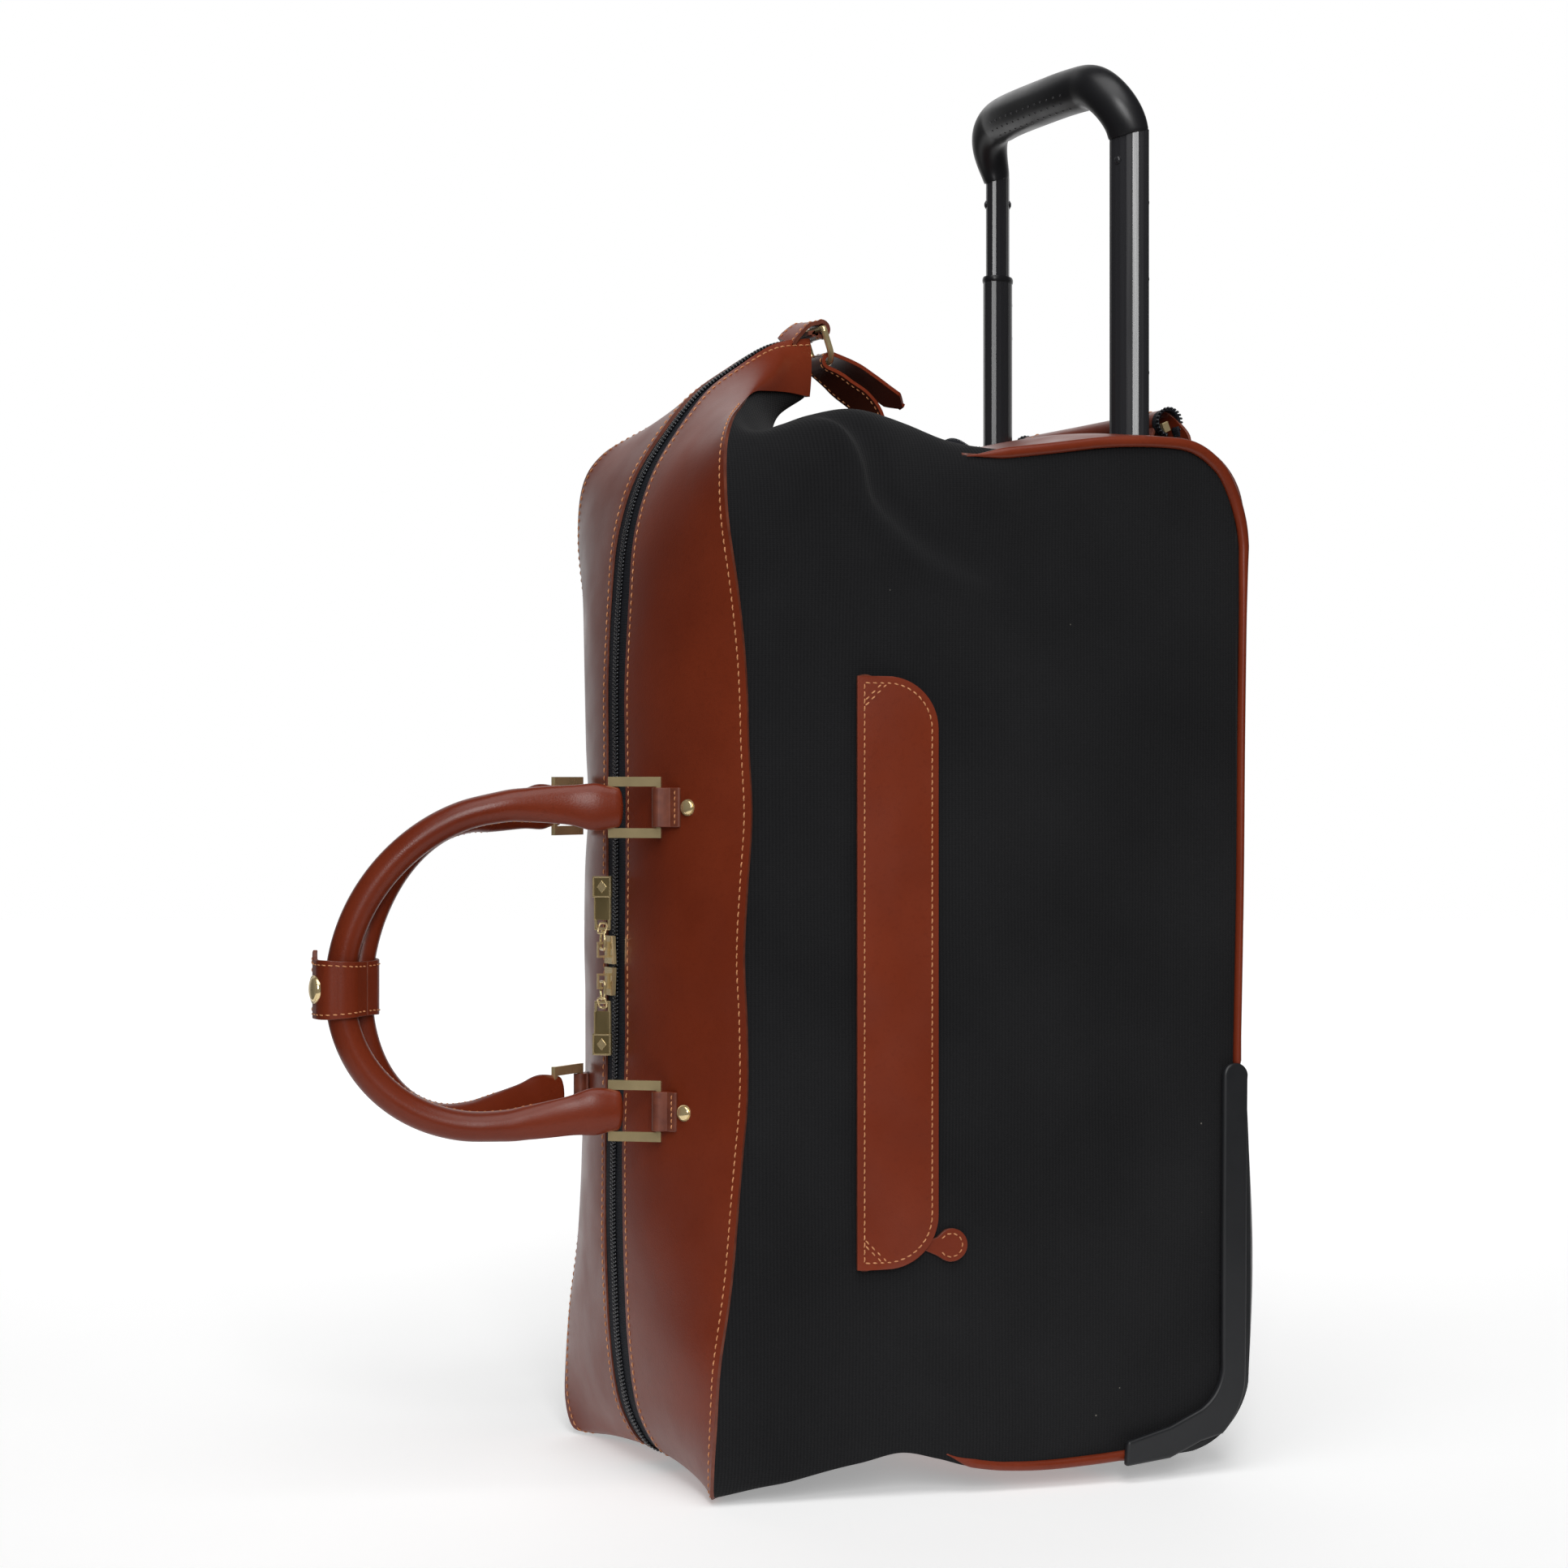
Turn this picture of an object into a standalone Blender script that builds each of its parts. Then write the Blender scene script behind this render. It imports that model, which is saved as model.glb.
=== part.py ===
"""Rolling duffel bag standing on its wheels, with its telescopic handle drawn part of the way out.

Frame: +Z up, -X the zip side with the carry handles, +X the back with the trolley, -Y the pocket side.
The origin is the centre of the bounding box's base. Lengths are in metres."""

import math

import bmesh
import bpy
from mathutils import Vector
from mathutils.geometry import tessellate_polygon

# Driving dimensions
GAP = 0.0004  # between pieces that touch
CANVAS = 0.0025
LEATHER = 0.0030
BACK_X = 0.2405  # outside of the back
HALF_WIDTH = 0.1500  # outside of the side panels at the back
TOP_Z = 0.5880
TAPE_HALF = 0.0140  # half the visible zip tape

# Trolley tubes: ovals set at 45 degrees, mirrored about the middle plane
TUBE_X = 0.2060
TUBE_Y = 0.0800
TUBE_TURN = math.radians(45)
UPPER_OVAL = (0.0119, 0.0070)
MID_OVAL = (0.01365, 0.00875)
OUTER_OVAL = (0.01520, 0.01030)
TUBE_WALL = 0.0012
TUBE_SIDES = 20
GRIP_END_Z = 0.7780
UPPER_FOOT_Z = 0.2700
FAR_MID_TOP_Z = 0.7130
NEAR_MID_TOP_Z = 0.5756
MID_LENGTH = 0.5085
OUTER_FOOT_Z = 0.0660
GRIP_BOW = 0.0160
GRIP_SECTION = (0.0130, 0.0130)
OUTER_TOP_Z = 0.5700

# Wheels
WHEEL_R = 0.0280
WHEEL_X = 0.2150
WHEEL_Y = 0.0880
WHEEL_HALF = 0.0110

# Carry handles and their rings
RING_PIN = Vector((-0.0856, -0.0600, 0.0))
RING_OUTER = Vector((-0.1080, -0.0440, 0.0))
RING_HEIGHTS = {"upper": 0.3803, "lower": 0.2115}
RING_HALF = 0.0170  # half the ring's height, outside
RING_BAR = 0.0026  # thickness of its upright bars and of the ring itself
RING_SIDE = 0.0054  # height of its two side bars
HANDLE_TIP_X = -0.2480
HANDLE_SAG = 0.0150

# Outlines as hand-placed points, zip (x, z) and seam (x, y, z) from the upper end to the lower
ZIP_POINTS = [
    (0.034, 0.6505), (0.003, 0.644), (-0.036, 0.619), (-0.066, 0.580), (-0.0825, 0.530), (-0.088, 0.456),
    (-0.088, 0.378), (-0.088, 0.299), (-0.088, 0.225), (-0.088, 0.150), (-0.0865, 0.085), (-0.0810, 0.042),
    (-0.0660, 0.0125), (-0.040, 0.0045),
]
SEAM_POINTS = [
    (0.033, -0.013, 0.6195), (-0.010, -0.034, 0.6165), (-0.040, -0.068, 0.609), (-0.0625, -0.098, 0.585),
    (-0.066, -0.110, 0.537), (-0.0566, -0.112, 0.4535), (-0.053, -0.112, 0.378), (-0.0575, -0.112, 0.299),
    (-0.0562, -0.112, 0.225), (-0.0625, -0.112, 0.150), (-0.0705, -0.112, 0.080), (-0.0755, -0.112, 0.030),
    (-0.0715, -0.108, 0.0030), (-0.045, -0.098, 0.0012),
]
TOP_LINE = [(-0.060, 0.603), (-0.013, 0.597), (0.030, 0.587), (0.067, 0.577), (0.113, 0.580), (0.160, 0.5865),
            (0.200, 0.588), (0.2405, 0.588)]
BOTTOM_LINE = [(-0.080, 0.0020), (-0.030, 0.0120), (0.015, 0.0270), (0.050, 0.0240), (0.080, 0.0155),
               (0.160, 0.0125), (0.2405, 0.0125)]
TOP_CORNER_R = 0.0420
BOTTOM_CORNER_R = 0.0560

BLACK_CANVAS = ((0.016, 0.016, 0.018), 0.90, 0.0)
TAN_LEATHER = ((0.30, 0.085, 0.035), 0.45, 0.0)
BLACK_PLASTIC = ((0.028, 0.030, 0.033), 0.45, 0.0)
BLACK_TUBE = ((0.010, 0.010, 0.012), 0.25, 0.6)
GOLD = ((0.78, 0.60, 0.28), 0.22, 1.0)
STEEL = ((0.60, 0.60, 0.60), 0.30, 1.0)
RUBBER = ((0.020, 0.020, 0.020), 0.80, 0.0)
BLACK_ZIP = ((0.012, 0.013, 0.018), 0.60, 0.0)


# Helpers -----------------------------------------------------------------------------------------

def clear_scene():
    for obj in list(bpy.data.objects):
        bpy.data.objects.remove(obj)


def material(name, look):
    found = bpy.data.materials.get(name)
    if found:
        return found
    made = bpy.data.materials.new(name)
    made.use_nodes = True
    shader = made.node_tree.nodes["Principled BSDF"]
    colour, roughness, metallic = look
    shader.inputs["Base Color"].default_value = (*colour, 1.0)
    shader.inputs["Roughness"].default_value = roughness
    shader.inputs["Metallic"].default_value = metallic
    return made


def add(name, points, faces, look, sharp=40):
    """A mesh object of these points and faces, with its faces turned outwards."""
    mesh = bpy.data.meshes.new(name)
    mesh.from_pydata([tuple(p) for p in points], [], faces)
    work = bmesh.new()
    work.from_mesh(mesh)
    bmesh.ops.recalc_face_normals(work, faces=work.faces)
    work.to_mesh(mesh)
    work.free()
    mesh.shade_smooth()
    mesh.set_sharp_from_angle(angle=math.radians(sharp))
    obj = bpy.data.objects.new(name, mesh)
    bpy.context.scene.collection.objects.link(obj)
    obj.data.materials.append(material(look[0], look[1]))
    return obj


def cut(obj, cutter):
    """Boolean difference, with the cutter kept as a hidden helper."""
    cutter.hide_render = True
    cutter.display_type = "WIRE"
    modifier = obj.modifiers.new("cut_" + cutter.name, "BOOLEAN")
    modifier.operation = "DIFFERENCE"
    modifier.object = cutter


def spline(points, t):
    """Catmull-Rom curve through the points, t from 0 to 1."""
    last = len(points) - 1
    place = min(max(t, 0.0), 1.0) * last
    i = min(int(place), last - 1)
    u = place - i
    p0, p1, p2, p3 = (Vector(points[min(max(k, 0), last)]) for k in (i - 1, i, i + 1, i + 2))
    return 0.5 * (2 * p1 + (p2 - p0) * u + (2 * p0 - 5 * p1 + 4 * p2 - p3) * u * u
                  + (3 * p1 - p0 - 3 * p2 + p3) * u ** 3)


def height_on(line, x):
    """Height of a line of (x, z) points at x, smoothed between them."""
    for (x0, z0), (x1, z1) in zip(line, line[1:]):
        if x <= x1:
            u = min(max((x - x0) / (x1 - x0), 0.0), 1.0)
            return z0 + (z1 - z0) * u * u * (3 - 2 * u)
    return line[-1][1]


def sheet(name, rows, thickness, look, outward):
    """A thick curved sheet: rows of points on its outer side, with its inner side offset along the normals.
    outward is a direction that the outer side faces on the whole."""
    count, width = len(rows), len(rows[0])

    def normal(i, j):
        along = rows[min(i + 1, count - 1)][j] - rows[max(i - 1, 0)][j]
        across = rows[i][min(j + 1, width - 1)] - rows[i][max(j - 1, 0)]
        return along.cross(across).normalized()

    turned = sum(normal(i, j).dot(outward) for i in range(count) for j in range(width))
    sign = 1 if turned > 0 else -1
    outer = [p for row in rows for p in row]
    inner = [rows[i][j] - sign * thickness * normal(i, j) for i in range(count) for j in range(width)]
    skin = len(outer)
    faces = []
    for i in range(count - 1):
        for j in range(width - 1):
            a, b, c, d = i * width + j, i * width + j + 1, (i + 1) * width + j + 1, (i + 1) * width + j
            faces += [(a, b, c, d), (skin + d, skin + c, skin + b, skin + a)]
    rim = (list(range(width)) + [i * width + width - 1 for i in range(1, count)]
           + [(count - 1) * width + j for j in range(width - 2, -1, -1)]
           + [i * width for i in range(count - 2, 0, -1)])
    for a, b in zip(rim, rim[1:] + rim[:1]):
        faces.append((b, a, skin + a, skin + b))
    return add(name, outer + inner, faces, look)


def prism(name, loops, place, depth, look, sharp=40):
    """An outline, with any holes, in a plane and pushed along its normal. place maps (u, v, w) to the frame."""
    flat = [[Vector((u, v, 0)) for u, v in loop] for loop in loops]
    points = [p for loop in flat for p in loop]
    count = len(points)
    faces = [tuple(tri) for tri in tessellate_polygon(flat)]
    faces += [tuple(count + k for k in reversed(tri)) for tri in faces]
    start = 0
    for loop in flat:
        ring = range(start, start + len(loop))
        for a in ring:
            b = a + 1 if a + 1 < start + len(loop) else start
            faces.append((a, b, count + b, count + a))
        start += len(loop)
    solid = [place(p.x, p.y, 0.0) for p in points] + [place(p.x, p.y, depth) for p in points]
    return add(name, solid, faces, look, sharp)


def box(name, low, high, look):
    (x0, y0, z0), (x1, y1, z1) = low, high
    return prism(name, [[(x0, y0), (x1, y0), (x1, y1), (x0, y1)]],
                 lambda u, v, w: Vector((u, v, z0 + w)), z1 - z0, look)


def arc(cx, cy, radius, start, end, steps):
    """Points on an arc, with angles in degrees."""
    turns = [math.radians(start + (end - start) * k / steps) for k in range(steps + 1)]
    return [(cx + radius * math.cos(a), cy + radius * math.sin(a)) for a in turns]


def turned(name, profile, centre, look, sides=28, sharp=40):
    """A solid of revolution about an axis along Y. The profile is a closed loop of (y, radius) points."""
    count = len(profile)
    points = [centre + Vector((r * math.cos(a), y, r * math.sin(a)))
              for a in (2 * math.pi * k / sides for k in range(sides)) for y, r in profile]
    faces = []
    for k in range(sides):
        for j in range(count):
            a, b = k * count + j, k * count + (j + 1) % count
            c, d = ((k + 1) % sides) * count + (j + 1) % count, ((k + 1) % sides) * count + j
            faces.append((a, b, c, d))
    return add(name, points, faces, look, sharp)


def lofted(name, rings, look, sharp=50):
    """A closed solid through rings of points, with flat ends."""
    count = len(rings[0])
    points = [p for ring in rings for p in ring]
    faces = [tuple(range(count)), tuple(range(len(points) - 1, len(points) - count - 1, -1))]
    for i in range(len(rings) - 1):
        for j in range(count):
            k = (j + 1) % count
            faces.append((i * count + j, i * count + k, (i + 1) * count + k, (i + 1) * count + j))
    return add(name, points, faces, look, sharp)


def oval(semi, turn, sides=TUBE_SIDES):
    """Points of an oval about the origin, its long axis turned by this angle from +X."""
    c, s = math.cos(turn), math.sin(turn)
    found = []
    for k in range(sides):
        a = 2 * math.pi * k / sides
        u, v = semi[0] * math.cos(a), semi[1] * math.sin(a)
        found.append((u * c - v * s, u * s + v * c))
    return found


# Shape of the bag ----------------------------------------------------------------------------------

def side_y(x):
    """Half-width of the bag at x, from the seam to the back."""
    share = min(max((x + 0.055) / (BACK_X + 0.055), 0.0), 1.0)
    return 0.112 + (HALF_WIDTH - 0.112) * math.sin(math.pi / 2 * share)


def back_x(z):
    """Outside of the back at this height, with its rounded upper and lower corners."""
    over, under = z - (TOP_Z - TOP_CORNER_R), (0.0125 + BOTTOM_CORNER_R) - z
    if over > 0:
        return BACK_X - TOP_CORNER_R + math.sqrt(max(TOP_CORNER_R ** 2 - over ** 2, 0.0))
    if under > 0:
        return BACK_X - BOTTOM_CORNER_R + math.sqrt(max(BOTTOM_CORNER_R ** 2 - under ** 2, 0.0))
    return BACK_X


def seam_at(z):
    """The seam's point at this height, on its nearly upright stretch."""
    low, high = 0.20, 0.93
    for _ in range(30):
        middle = (low + high) / 2
        if spline(SEAM_POINTS, middle).z > z:
            low = middle
        else:
            high = middle
    return spline(SEAM_POINTS, low)


def tape_half(t):
    """Half the zip tape's visible width, which narrows towards the upper end."""
    return TAPE_HALF * (0.5 + 0.5 * min(1.0, t * 5))


def front_point(t, w, side):
    """Outside of a leather front panel: t along the zip, w from its zip edge to its seam, side -1 near or 1 far."""
    zip_x, zip_z = spline(ZIP_POINTS, t)
    seam = spline(SEAM_POINTS, t)
    edge_y = -tape_half(t)
    start = Vector((zip_x + 0.0008, edge_y, zip_z))
    crown = Vector((zip_x + 0.0020, 0.60 * seam.y + 0.40 * edge_y, 0.55 * zip_z + 0.45 * seam.z))
    point = start * (1 - w) ** 2 + crown * 2 * w * (1 - w) + seam * w * w
    return Vector((point.x, -side * point.y, point.z))


def front_x(y, z):
    """Outside of the near front panel at this distance from the middle, on its straight stretch."""
    def solve(value, target, low, high):
        for _ in range(30):
            middle = (low + high) / 2
            low, high = (middle, high) if value(middle) > target else (low, middle)
        return low
    t = solve(lambda share: spline(ZIP_POINTS, share).y, z, 0.2, 0.9)
    w = solve(lambda share: front_point(t, share, -1).y, y, 0.0, 1.0)
    return front_point(t, w, -1).x


def side_point(s, v, side):
    """Outside of a side panel: s from the seam to the back, v from the bottom to the top."""
    low, high = 0.0125, TOP_Z
    level = low + (high - low) * v
    front = seam_at(min(max(level, 0.010), 0.600)).x + 0.0045
    x = front + (back_x(level) - 0.0040 - front) * s
    bottom, top = height_on(BOTTOM_LINE, x) + 0.0075, height_on(TOP_LINE, x) - 0.0040
    z = bottom + (top - bottom) * v
    return Vector((x, side * side_y(x), z))


# Soft pieces -----------------------------------------------------------------------------------------

CANVAS_LOOK = ("black_canvas", BLACK_CANVAS)
LEATHER_LOOK = ("tan_leather", TAN_LEATHER)
ZIP_LOOK = ("black_zip", BLACK_ZIP)
PLASTIC_LOOK = ("black_plastic", BLACK_PLASTIC)
TUBE_LOOK = ("black_tube", BLACK_TUBE)
GOLD_LOOK = ("gold_metal", GOLD)
STEEL_LOOK = ("steel", STEEL)
RUBBER_LOOK = ("rubber", RUBBER)
SIDES = {"near": -1, "far": 1}


def side_panels():
    for name, side in SIDES.items():
        rows = [[side_point(i / 10, 0.5 - 0.5 * math.cos(math.pi * j / 18), side) for j in range(19)]
                for i in range(11)]
        sheet(name + "_side_panel", rows, CANVAS, CANVAS_LOOK, Vector((0, side, 0)))


def leather_panels():
    for name, side in SIDES.items():
        rows = [[front_point(i / 34, j / 6, side) for j in range(7)] for i in range(35)]
        sheet(name + "_leather_panel", rows, LEATHER, LEATHER_LOOK, Vector((-1, 0, 0.1)))


def zip_tapes():
    """Each half of the closed zip: its tape with its row of teeth, set back a little from the leather's edge."""
    thickness, drop, split = 0.0014, 0.0016, 0.0003
    for name, side in SIDES.items():
        rows = []
        for i in range(35):
            t = 0.004 + 0.981 * i / 34
            x, z = spline(ZIP_POINTS, t)
            ahead, behind = spline(ZIP_POINTS, min(t + 0.01, 1)), spline(ZIP_POINTS, max(t - 0.01, 0))
            along = (ahead - behind).normalized()
            inward = Vector((-along.y, along.x)) * drop
            edge = tape_half(t) - 0.0016 - 0.0022 * max(0.0, 1 - 4 * t)
            rows.append([Vector((x + inward.x, side * y, z + inward.y)) for y in (edge, split)])
        sheet(name + "_zip_tape", rows, thickness, ZIP_LOOK, Vector((-1, 0, 0.05)))


def gussets():
    """The soft canvas ends, between the front's leather and the stiff base."""
    ends = (("top_gusset", TOP_LINE, -0.046, 0.0625, 1), ("bottom_gusset", BOTTOM_LINE, -0.034, 0.0480, -1))
    for name, line, x0, x1, up in ends:
        rows = []
        for i in range(9):
            x = x0 + (x1 - x0) * i / 8
            half = side_y(x) - 0.0050
            row = []
            for j in range(11):
                y = half * (2 * j / 10 - 1)
                dip = 0.0100 * (1 - (y / half) ** 2) if up > 0 else 0.0020
                row.append(Vector((x, y, height_on(line, x) - up * (0.0045 + dip))))
            rows.append(row)
        sheet(name, rows, CANVAS, CANVAS_LOOK, Vector((0, 0, up)))


def beak_gusset():
    """The fold of canvas that closes the upper end of the zip, under its leather."""
    rings = []
    for t in (0.004, 0.03, 0.06, 0.09, 0.11):
        crest, seam = spline(ZIP_POINTS, t), spline(SEAM_POINTS, t)
        half = -seam.y * 0.70
        low, high = seam.z - 0.0050, seam.z + 0.25 * (crest.y - seam.z) - 0.0030
        rings.append([Vector((seam.x, y, z)) for y, z in
                      ((-half, low), (half, low), (half * 0.8, high), (-half * 0.8, high))])
    lofted("beak_gusset", rings, CANVAS_LOOK)


def base_profile(top, drop):
    """(x, z) points of the base's outline seen from the side, drop inside it: its top and back, or its bottom."""
    if top:
        flat = [(x, height_on(TOP_LINE, x) - drop) for x in (0.066, 0.09, 0.115, 0.14, 0.165, 0.185)]
        centre = (BACK_X - TOP_CORNER_R, TOP_Z - TOP_CORNER_R)
        return flat + arc(*centre, TOP_CORNER_R - drop, 90, 0, 8) + [(BACK_X - drop, 0.5300)]
    rise = [(0.0520, 0.0260), (0.0560, 0.0215), (0.0640, 0.0180)]
    flat = [(x, height_on(BOTTOM_LINE, x)) for x in (0.075, 0.09, 0.115, 0.140, 0.1560)]
    return [(x, z + drop) for x, z in rise + flat]


def base_caps():
    """Leather ends of the stiff base. The upper one has the opening that the trolley comes through."""
    for name, top in (("top_base_cap", True), ("bottom_base_cap", False)):
        rows = []
        for x, z in base_profile(top, 0.0):
            half = side_y(x) - 0.0008
            rows.append([Vector((x, half * k / 4, z)) for k in range(-4, 5)])
        cap = sheet(name, rows, LEATHER, LEATHER_LOOK, Vector((0.2, 0, 1 if top else -1)))
        if top:
            cut(cap, box("trolley_opening", (0.1800, -0.1080, 0.5500), (0.2220, 0.1080, 0.6200), LEATHER_LOOK))


def side_piping():
    """Leather cord round the upper and back edge of each side, down to the corner guard."""
    flat = [(x, height_on(TOP_LINE, x)) for x in (0.070, 0.10, 0.13, 0.16, 0.185)]
    corner = arc(BACK_X - TOP_CORNER_R, TOP_Z - TOP_CORNER_R, TOP_CORNER_R, 90, 0, 8)
    path = flat + corner + [(BACK_X, 0.45), (BACK_X, 0.34), (BACK_X, 0.2370)]
    radius = 0.0030
    for name, side in SIDES.items():
        rings = []
        for i, (x, z) in enumerate(path):
            before, after = path[max(i - 1, 0)], path[min(i + 1, len(path) - 1)]
            along = Vector((after[0] - before[0], 0, after[1] - before[1])).normalized()
            out = Vector((-along.z, 0, along.x))
            centre = Vector((x, side * (side_y(x) + radius + GAP), z - 0.0010))
            rings.append([centre + radius * (math.cos(a) * out + math.sin(a) * Vector((0, 1, 0)))
                          for a in (2 * math.pi * k / 8 for k in range(8))])
        lofted(name + "_piping", rings, LEATHER_LOOK)


def back_board():
    """Stiff canvas-covered board that the trolley is fixed to."""
    box("back_board", (BACK_X - 0.0060, -0.1440, 0.2300), (BACK_X - 0.0005, 0.1440, 0.5290), CANVAS_LOOK)


def trolley_flap():
    """Zipped cover for the stowed handle, opened: a roll sewn to the cap, and the flap hanging behind."""
    axis = Vector((0.2300, 0, 0.5990))
    roll_r = 0.0085
    half = 0.0960
    roll = [(axis.x + roll_r * math.cos(a), axis.z + roll_r * math.sin(a))
            for a in (math.radians(200 - 200 * k / 12) for k in range(13))]
    hang = [(BACK_X + 0.0010, 0.5860), (BACK_X + 0.0040, 0.5700), (BACK_X + 0.0055, 0.5560), (BACK_X + 0.0055, 0.5320)]
    rows = [[Vector((x, y, z)) for y in (-half, -half / 2, 0, half / 2, half)] for x, z in roll + hang]
    sheet("cover_flap", rows, 0.0018, LEATHER_LOOK, Vector((1, 0, 1)))


# Pocket ------------------------------------------------------------------------------------------------

def pocket():
    """Zip pocket on the near side: a leather flap over its zip, and the slider's leather tab."""
    x0, x1, z0, z1, corner = 0.0035, 0.0475, 0.1275, 0.4520, 0.0300
    outline = [(x0, z0)] + arc(x1 - corner, z0 + corner, corner, -90, 0, 5)
    outline += arc(x1 - corner, z1 - corner, corner, 0, 90, 5) + [(x0, z1)]

    def on_side(lift):
        def place(x, z, depth):
            return Vector((x, -(side_y(x) + lift + depth), z))
        return place

    prism("pocket_flap", [outline], on_side(0.0034), 0.0026, LEATHER_LOOK)
    strip = [(0.0200, 0.1400), (0.0300, 0.1400), (0.0300, 0.4400), (0.0200, 0.4400)]
    prism("pocket_zip", [strip], on_side(0.0004), 0.0014, ZIP_LOOK)
    tab = [(0.0300, 0.1380), (0.0450, 0.1350)] + arc(0.0580, 0.1380, 0.0085, -100, 100, 8) + [(0.0450, 0.1420)]
    tab += [(0.0300, 0.1410)]
    prism("pocket_puller", [tab], on_side(0.0021), 0.0011, LEATHER_LOOK)


# Carry handles --------------------------------------------------------------------------------------------

def rings():
    """Gold rectangular rings that join each handle to its leather tabs."""
    reach = RING_OUTER - RING_PIN
    length = reach.length
    along = reach.normalized()
    for name, side in SIDES.items():
        for level, z in RING_HEIGHTS.items():
            def place(u, v, w, side=side, z=z):
                across = Vector((-along.y, along.x, 0))
                point = RING_PIN + along * u + across * (w - RING_BAR / 2)
                return Vector((point.x, -side * point.y, z + v))
            b, h = RING_BAR / 2, RING_HALF
            outer = [(-b, -h), (length + b, -h), (length + b, h), (-b, h)]
            inner = [(b, -h + RING_SIDE), (length - b, -h + RING_SIDE), (length - b, h - RING_SIDE),
                     (b, h - RING_SIDE)]
            prism(f"{name}_{level}_ring", [outer, inner], place, RING_BAR, GOLD_LOOK)


def chapes():
    """Leather tab round each ring's inner bar, lying on the front panel where it is sewn and riveted down."""
    half, hole, skin, thick = 0.0110, 0.0021, 0.0038, 0.0030
    foot_ys = (-0.0560, -0.0590, -0.0620, -0.0650, -0.0680)
    for name, side in SIDES.items():
        for level, z in RING_HEIGHTS.items():
            sole = [min(front_x(y, z + rise) for rise in (-half, 0.0, half)) - 0.0003 for y in foot_ys]
            under = list(zip(sole, foot_ys))
            over = [(under[-1][0] - 0.6 * thick, foot_ys[-1]), (under[-2][0] - thick, foot_ys[-2] + 0.0010)]
            loop = arc(RING_PIN.x, RING_PIN.y, skin, -110, -310, 12)
            bore = arc(RING_PIN.x, RING_PIN.y, hole, 0, 330, 11)

            def place(u, v, w, side=side, z=z):
                return Vector((u, -side * v, z - half + w))
            prism(f"{name}_{level}_tab", [under + over + loop, bore], place, 2 * half, LEATHER_LOOK)


def rivet(name, point, direction, radius=0.0042, height=0.0026):
    """Domed rivet head standing on the leather."""
    axis = direction.normalized()
    across = axis.cross(Vector((0, 0, 1))).normalized()
    up = across.cross(axis)
    rings_of = []
    for share, rise in ((1.0, 0.0), (0.95, 0.45), (0.62, 0.85), (0.25, 1.0)):
        rings_of.append([point + axis * height * rise + radius * share * (math.cos(a) * across + math.sin(a) * up)
                         for a in (2 * math.pi * k / 12 for k in range(12))])
    lofted(name, rings_of, GOLD_LOOK)


def handle_path(side):
    """Centre line of a carry handle from its upper ring to its lower one."""
    high, low = RING_HEIGHTS["upper"], RING_HEIGHTS["lower"]
    middle, bow = (high + low) / 2, (high - low) / 2 + 0.0040
    start = RING_OUTER.x - 0.0060
    straight = -0.1660
    points = []
    for k in range(4):
        x = start + (straight - start) * k / 4
        points.append((x, high + 0.0040 * math.sin(math.pi / 2 * k / 4)))
    for k in range(13):
        a = math.pi / 2 - math.pi * k / 12
        points.append((straight - (straight - HANDLE_TIP_X) * math.cos(a), middle + bow * math.sin(a)))
    for k in range(3, -1, -1):
        x = start + (straight - start) * k / 4
        points.append((x, low - 0.0040 * math.sin(math.pi / 2 * k / 4)))
    found = []
    for x, z in points:
        reach = (start - x) / (start - HANDLE_TIP_X)
        y = RING_OUTER.y + (-0.0095 - RING_OUTER.y) * reach
        found.append(Vector((x, -side * y, z - HANDLE_SAG * reach ** 1.5)))
    return found


def swept(name, path, size_at, look, flat_axis):
    """A tube along a path whose half-height and half-thickness come from size_at(share of length)."""
    lengths = [0.0]
    for a, b in zip(path, path[1:]):
        lengths.append(lengths[-1] + (b - a).length)
    rings_of = []
    for i, p in enumerate(path):
        along = (path[min(i + 1, len(path) - 1)] - path[max(i - 1, 0)]).normalized()
        thick = (flat_axis - along * flat_axis.dot(along)).normalized()
        wide = along.cross(thick)
        tall, thin = size_at(lengths[i] / lengths[-1])
        rings_of.append([p + math.cos(a) * tall * wide + math.sin(a) * thin * thick
                         for a in (2 * math.pi * k / 10 for k in range(10))])
    return lofted(name, rings_of, look)


def handle_section(share):
    """Round in the hand, and flat and wide where the leather wraps its ring."""
    end = min(share, 1 - share)
    blend = min(1.0, end / 0.20)
    blend = blend * blend * (3 - 2 * blend)
    return 0.0110 + (0.0082 - 0.0110) * blend, 0.0040 + (0.0082 - 0.0040) * blend


def carry_handles():
    for name, side in SIDES.items():
        swept(name + "_carry_handle", handle_path(side), handle_section, LEATHER_LOOK, Vector((0, 1, 0)))


def handle_wraps():
    """Two leather halves, one round each handle, that meet on the middle plane and snap together."""
    height, wall, inner, corner = 0.0290, 0.0030, 0.0110, 0.0050
    for name, side in SIDES.items():
        tip = handle_path(side)[10]
        front, back, outer_y, split = tip.x - inner, tip.x + inner, tip.y + side * inner, side * 0.0003
        line = [(front, split), (front, outer_y - side * corner), (front + corner, outer_y),
                (back - corner, outer_y), (back, outer_y - side * corner), (back, split)]
        shell = offset_strip([Vector((x, y, 0)) for x, y in line], wall)

        def place(u, v, w, low=tip.z - height / 2):
            return Vector((u, v, low + w))
        prism(f"{name}_handle_wrap", [shell], place, height, LEATHER_LOOK)
    near_tip = handle_path(SIDES["near"])[10]
    snap = Vector((near_tip.x - inner - wall - 0.0012, -0.0075, near_tip.z))
    rivet("wrap_snap", snap, Vector((-1, 0, 0)), radius=0.0065, height=0.0024)


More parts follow.
